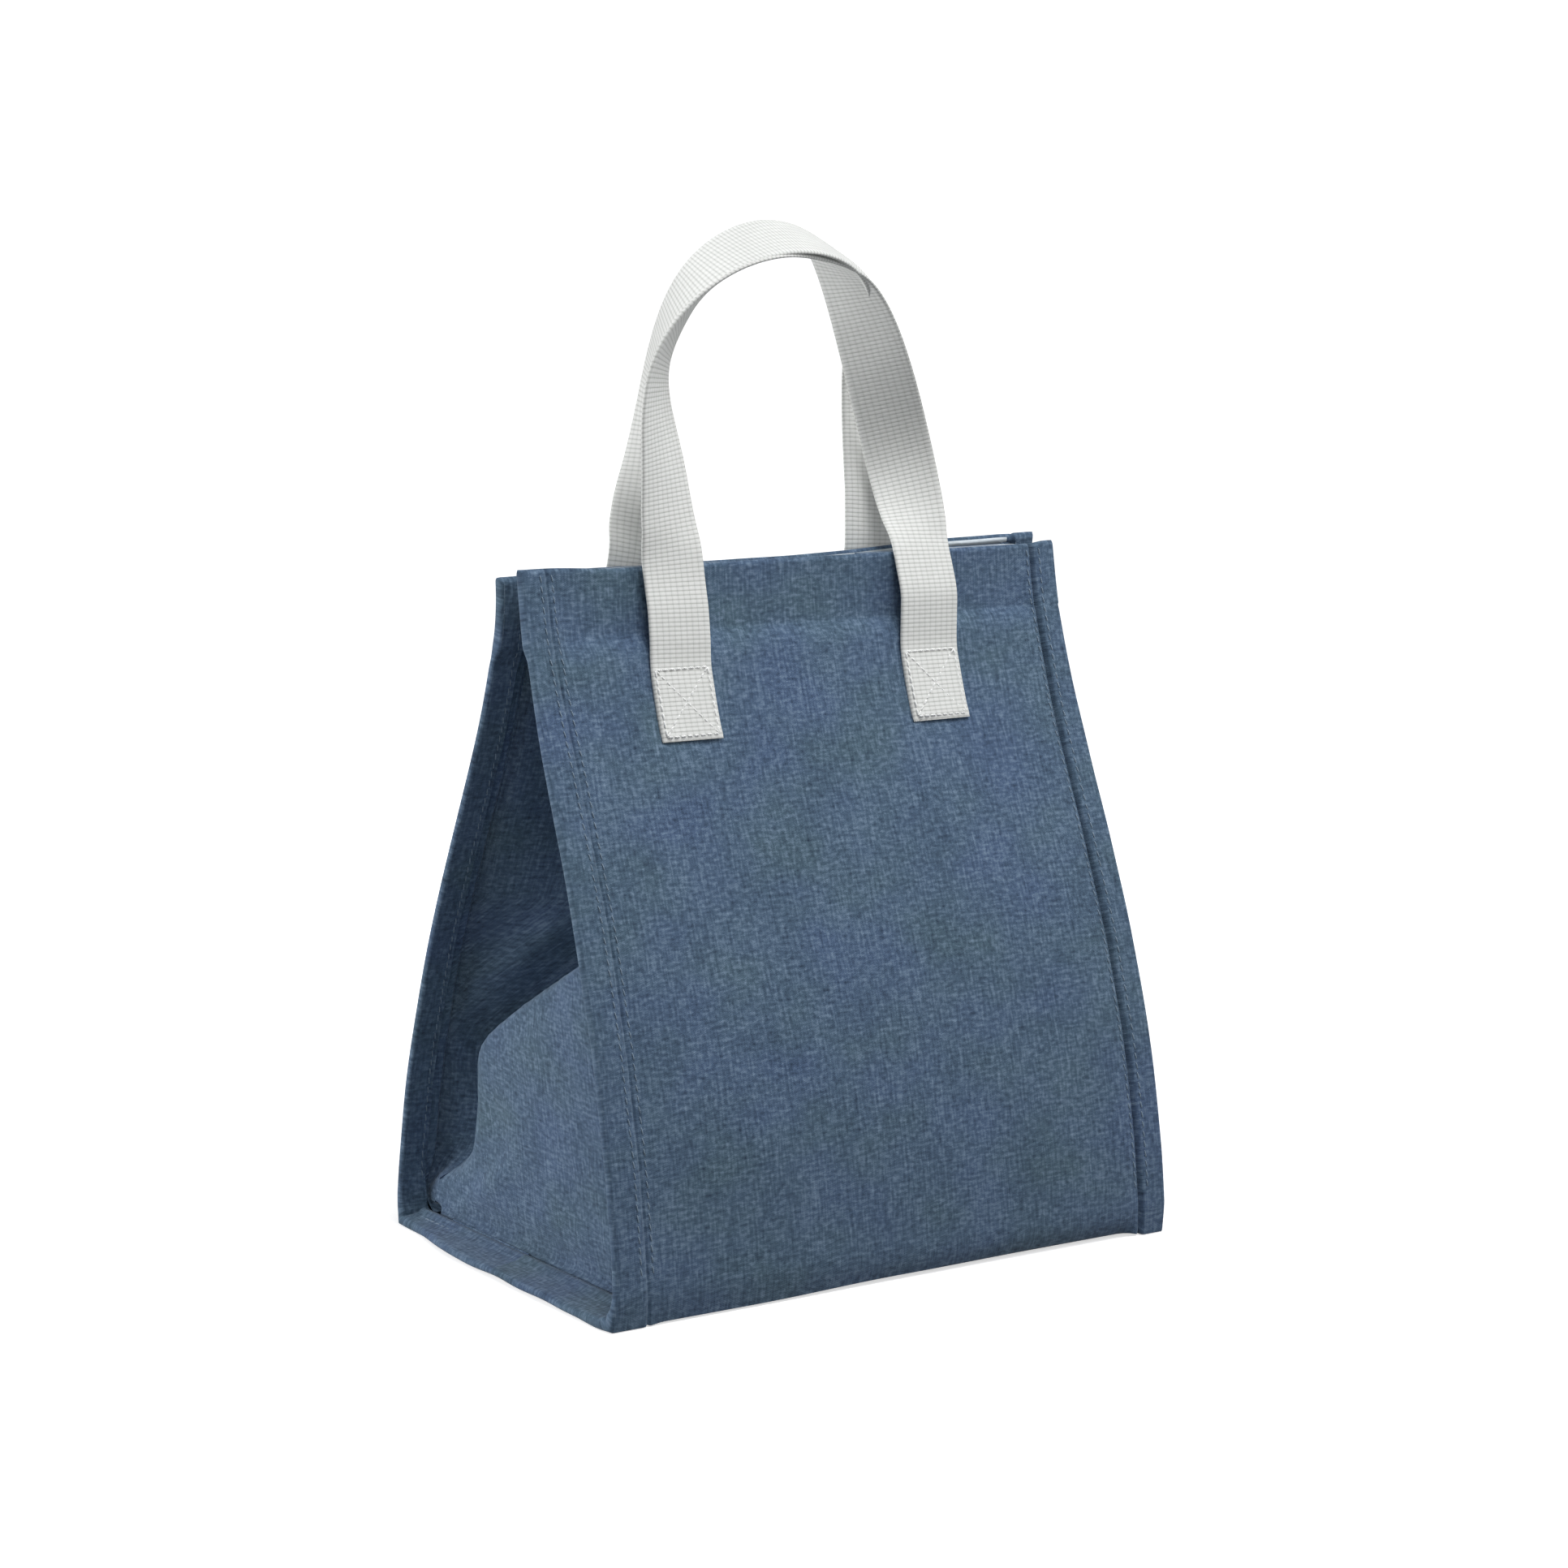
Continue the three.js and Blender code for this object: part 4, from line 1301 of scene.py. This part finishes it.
def handle(wall):
    """A handle of flat webbing, whose ends are folded under and sewn to the wall."""
    bag = sizes()
    name = WALL_NAMES[wall]
    centre, turning = handle_centre_line(wall)
    across, out = handle_directions(wall, centre, turning)
    travel = line_travel(centre)
    columns = np.array(WEBBING_COLUMNS)
    beside = columns * bag.webbing_width / 2
    from_end = np.minimum(travel, travel[-1] - travel)
    thick = bag.webbing / 2 + FOLDED_LIFT * (1 - step(*FOLDED_END, from_end))
    rounded_end = round_off(END_ROUNDING - from_end, END_ROUNDING, 0.02)
    rounded_side = round_off(np.abs(columns) - SIDE_FLAT, 1 - SIDE_FLAT, 0.05)
    reach = (thick * rounded_end)[:, None] * rounded_side
    middle = centre[:, None] + across[:, None] * beside[:, None]
    half = out[:, None] * reach[..., None]
    places = places_of(beside[None, :], travel[:, None])
    piece = tube(
        f"{name}_handle_webbing", middle + half, middle - half, ["ribbed_webbing"], places, sharp=60
    )
    settle(piece, "webbing", f"{name}_handle", f"{name}_foot_left", f"{name}_foot_right")
    bend_start, bend_end = (0, 0, bag.foot_high), (0, 0, BEND_END)
    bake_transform(piece)
    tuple(bend_start)
    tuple(bend_end)


# Stitches

BOX_STITCH_INSET = 1.7 * MM
BOX_STITCH_RADIUS, BOX_STITCH_LIFT = 0.43 * MM, 0.13 * MM
BOX_STITCH, BOX_GAP = 2.6 * MM, 0.4 * MM
SEAM_STITCH, SEAM_GAP = 3 * MM, 1 * MM
SEAM_STITCH_RADIUS, SEAM_STITCH_LIFT = 0.26 * MM, 0.1 * MM
SEAM_STITCH_TURN = math.radians(9)


def box_stitches(wall, side):
    """White stitches in a square with a cross, through the foot of a handle."""
    bag = sizes()
    table = skin_table()
    middle = FOOT_MIDDLES[wall][0 if side == LEFT else 1] * MM
    half = bag.webbing_width / 2 - BOX_STITCH_INSET
    left, right = middle - half, middle + half
    low = bag.foot_low + BOX_STITCH_INSET
    high = bag.foot_high - 0.6 * MM
    lift = FOOT_LIFT + bag.webbing / 2 + BOX_STITCH_LIFT
    corners = {"a": (left, low), "b": (right, low), "c": (right, high), "d": (left, high)}
    shares = np.linspace(0, 1, 12)
    rows = []
    for start, end in ("ab", "bc", "cd", "da", "ac", "bd"):
        x, height = (
            first + (last - first) * shares for first, last in zip(corners[start], corners[end])
        )
        path = wall_place(table, wall, x, height, lift)
        outs = skin_out(table, wall, travel_at(table, height))
        rows += stitch_line(path, outs, BOX_STITCH, BOX_GAP)
    name = f"{WALL_NAMES[wall]}_box_stitch_{SIDE_NAMES[side]}"
    piece = stitches(f"{name}_thread", rows, "white_thread", BOX_STITCH_RADIUS)
    settle(piece, "thread", name)
    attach(piece, f"{WALL_NAMES[wall]}_wall")


def cloth_stitches(table, wall, x, travel, inside=False):
    """A row of stitches along the cloth at one width, just above its outer or its inner face."""
    x = np.full(travel.shape, x)
    height, = read_skin(table, travel, "height")
    lift_out, lift_in = skin_lifts(table, wall, x, travel, height)
    lift = lift_in - SEAM_STITCH_LIFT if inside else lift_out + SEAM_STITCH_LIFT
    path = skin(table, wall, x, travel, lift)
    outs = skin_out(table, wall, travel) * (-1 if inside else 1)
    return stitch_line(path, outs, SEAM_STITCH, SEAM_GAP)


def seam_stitches(wall):
    """Stitches beside the side seams of a wall and along the sewn edges of the base."""
    bag = sizes()
    table = skin_table()
    climb = np.linspace(float(travel_at(table, 20 * MM)), table["end"] - 2 * MM, 130)
    floor_run = np.linspace(2 * MM, table["floor_end"] - 4 * MM, 40)
    rows = []
    for side in (LEFT, RIGHT):
        for past_seam, run, inside in (
            (3.2, climb, False),
            (-2.4, climb, False),
            (1.6, climb, True),
            (5.5, floor_run, True),
        ):
            rows += cloth_stitches(table, wall, side * (bag.seam + past_seam * MM), run, inside)
    name = WALL_NAMES[wall]
    piece = stitches(
        f"{name}_seam_stitches", rows, "blue_thread", SEAM_STITCH_RADIUS, SEAM_STITCH_TURN
    )
    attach(piece, f"{name}_wall")


# Stage

CAMERA_PLACE = (-0.8915, -1.3020, 0.4424)
CAMERA_AZIMUTH = -0.60032
CAMERA_ELEVATION = 0.16173
CAMERA_ROLL = 0.01173
CAMERA_FOCUS = 4887.13
IMAGE_WIDTH = 1932
SENSOR_WIDTH = 36
FLOOR_REACH = 3.0
FLOOR_BOW = 1.2
FLOOR_DROP = 0.05 * MM

# Name, azimuth and elevation in degrees, distance, size, power and height looked at
LAMPS = [
    ("top_softbox", 4, 62, 1.12, (0.7, 0.55), 11.2, 0.3),
    ("left_softbox", -120, 12, 1.5, (0.7, 0.7), 16.9, 0.12),
    ("front_softbox", -35, 22, 1.8, (1.0, 1.0), 3.7, 0.2),
    ("right_softbox", 60, 20, 1.5, (0.8, 0.8), 7.0, 0.2),
]


def looking_in(azimuth, elevation):
    """The directions right, up and back of something that looks at the bag."""
    level = math.cos(elevation)
    right = np.array([math.cos(azimuth), math.sin(azimuth), 0])
    back = np.array([math.sin(azimuth) * level, -math.cos(azimuth) * level, math.sin(elevation)])
    return right, np.cross(back, right), back


def put_on_stage(name, data, *columns):
    """Adds a camera or a lamp with its directions right, up and back and its place."""
    thing = bpy.data.objects.new(name, data)
    rows = [[column[axis] for column in columns] for axis in range(3)]
    thing.matrix_world = Matrix([*rows, [0, 0, 0, 1]])
    bpy.context.scene.collection.objects.link(thing)
    return thing


def add_camera():
    right, up, back = looking_in(CAMERA_AZIMUTH, CAMERA_ELEVATION)
    turned_right = right * math.cos(CAMERA_ROLL) + up * math.sin(CAMERA_ROLL)
    turned_up = up * math.cos(CAMERA_ROLL) - right * math.sin(CAMERA_ROLL)
    data = bpy.data.cameras.new("photo_camera")
    data.sensor_width = SENSOR_WIDTH
    data.lens = SENSOR_WIDTH * CAMERA_FOCUS / IMAGE_WIDTH
    data.clip_end = 50
    bpy.context.scene.camera = put_on_stage(
        "photo_camera", data, turned_right, turned_up, back, CAMERA_PLACE
    )


def add_softbox(name, azimuth, elevation, distance, size, power, target_height):
    """A large area light that looks at the bag."""
    data = bpy.data.lights.new(name, "AREA")
    data.shape = "RECTANGLE"
    data.size, data.size_y = size
    data.energy = power
    right, up, back = looking_in(math.radians(azimuth), math.radians(elevation))
    put_on_stage(name, data, right, up, back, back * distance + np.array([0, 0, target_height]))


def add_world():
    world = bpy.data.worlds.new("studio")
    world.use_nodes = True
    world.node_tree.nodes.clear()
    bpy.context.scene.world = world
    dim = add_node(world, "ShaderNodeBackground", {"Color": (0.93, 0.96, 1, 1), "Strength": 0.14})
    white = add_node(world, "ShaderNodeBackground", {"Color": (1, 1, 1, 1)})
    add_node(world, "ShaderNodeOutputWorld", {"Surface": background_mix(world, dim, white)})


def add_floor():
    """A floor that bows up into a wall behind the bag, square to the camera."""
    bows = np.linspace(0, math.pi / 2, 24)[1:]
    flat = FLOOR_REACH - FLOOR_BOW
    aways = [-FLOOR_REACH, 0, flat, *(flat + FLOOR_BOW * np.sin(bows)), FLOOR_REACH]
    heights = [0, 0, 0, *(FLOOR_BOW - FLOOR_BOW * np.cos(bows)), 3.2]
    across, away = np.meshgrid(np.linspace(-4, 4, 9), aways)
    height = np.broadcast_to(np.array(heights)[:, None], across.shape)
    sine, cosine = math.sin(CAMERA_AZIMUTH), math.cos(CAMERA_AZIMUTH)
    x = across * cosine - away * sine
    y = across * sine + away * cosine
    numbers = np.arange(across.size).reshape(across.shape)
    points = np.stack([x, y, height - FLOOR_DROP], axis=-1)
    floor = make_mesh("studio_floor", points, quads(numbers), ["pale_floor"])


# Operators

class BAG_OT_stage(bpy.types.Operator):
    """Adds the camera, the lights and the floor"""

    bl_idname = "bag.stage"
    bl_label = "Stage"

    def execute(self, context):
        add_camera()
        add_world()
        for lamp in LAMPS:
            add_softbox(*lamp)
        add_floor()
        context.scene.view_settings.view_transform = "Standard"
        return {"FINISHED"}


class BAG_OT_outer_cloth(bpy.types.Operator):
    """Adds the outer cloth of the base and of both walls"""

    bl_idname = "bag.outer_cloth"
    bl_label = "Outer cloth"

    def execute(self, context):
        outer_cloth(FRONT)
        outer_cloth(BACK)
        return {"FINISHED"}


class BAG_OT_side_gussets(bpy.types.Operator):
    """Adds the folded cloth of both sides"""

    bl_idname = "bag.side_gussets"
    bl_label = "Side gussets"

    def execute(self, context):
        side_gusset(LEFT)
        side_gusset(RIGHT)
        return {"FINISHED"}


class BAG_OT_insulation(bpy.types.Operator):
    """Adds the foam and the foil lining of the walls and the base"""

    bl_idname = "bag.insulation"
    bl_label = "Foam and foil"

    def execute(self, context):
        wall_layers(FRONT)
        wall_layers(BACK)
        base_padding()
        base_trough()
        return {"FINISHED"}


class BAG_OT_board(bpy.types.Operator):
    """Gives the board in the base its finish"""

    bl_idname = "bag.board"
    bl_label = "Base board"

    def execute(self, context):
        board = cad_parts["base_board"]
        board.data.materials.clear()
        board.data.materials.append(finish("pressed_board"))
        return {"FINISHED"}


class BAG_OT_handles(bpy.types.Operator):
    """Adds the two webbing handles"""

    bl_idname = "bag.handles"
    bl_label = "Handles"

    def execute(self, context):
        handle(FRONT)
        handle(BACK)
        return {"FINISHED"}


class BAG_OT_stitches(bpy.types.Operator):
    """Adds the stitches of the handles and the seams"""

    bl_idname = "bag.stitches"
    bl_label = "Stitches"

    def execute(self, context):
        for wall in (FRONT, BACK):
            for side in (LEFT, RIGHT):
                box_stitches(wall, side)
            seam_stitches(wall)
        return {"FINISHED"}


class BAG_OT_closing_tapes(bpy.types.Operator):
    """Adds the hook and loop tapes inside the mouth"""

    bl_idname = "bag.closing_tapes"
    bl_label = "Closing tapes"

    def execute(self, context):
        closing_strip(FRONT)
        closing_strip(BACK)
        return {"FINISHED"}


PIECE_OPERATORS = (
    BAG_OT_stage,
    BAG_OT_outer_cloth,
    BAG_OT_side_gussets,
    BAG_OT_insulation,
    BAG_OT_board,
    BAG_OT_handles,
    BAG_OT_stitches,
    BAG_OT_closing_tapes,
)


class BAG_PT_panel(bpy.types.Panel):
    """Lists the pieces of the bag and their settings"""

    bl_idname = "BAG_PT_panel"
    bl_label = "Cooler bag"
    bl_space_type = "VIEW_3D"
    bl_region_type = "UI"
    bl_category = "Bag"

    def draw(self, context):
        for operator in PIECE_OPERATORS:
            self.layout.operator(operator.bl_idname)
        for group in (context.scene.bag_sizes, context.scene.bag_colours):
            for name in group.__annotations__:
                self.layout.prop(group, name)


CLASSES = (BagSizes, BagColours, *PIECE_OPERATORS, BAG_PT_panel)


def register():
    for made in CLASSES:
        bpy.utils.register_class(made)
    bpy.types.Scene.bag_sizes = bpy.props.PointerProperty(type=BagSizes)
    bpy.types.Scene.bag_colours = bpy.props.PointerProperty(type=BagColours)


def unregister():
    del bpy.types.Scene.bag_colours
    del bpy.types.Scene.bag_sizes
    for made in reversed(CLASSES):
        bpy.utils.unregister_class(made)


def main():
    register()
    bpy.ops.bag.stage()
    bpy.ops.bag.outer_cloth()
    bpy.ops.bag.side_gussets()
    bpy.ops.bag.insulation()
    bpy.ops.bag.board()
    bpy.ops.bag.handles()
    bpy.ops.bag.stitches()
    bpy.ops.bag.closing_tapes()
    bpy.context.view_layer.update()


if __name__ == "__main__":
    main()
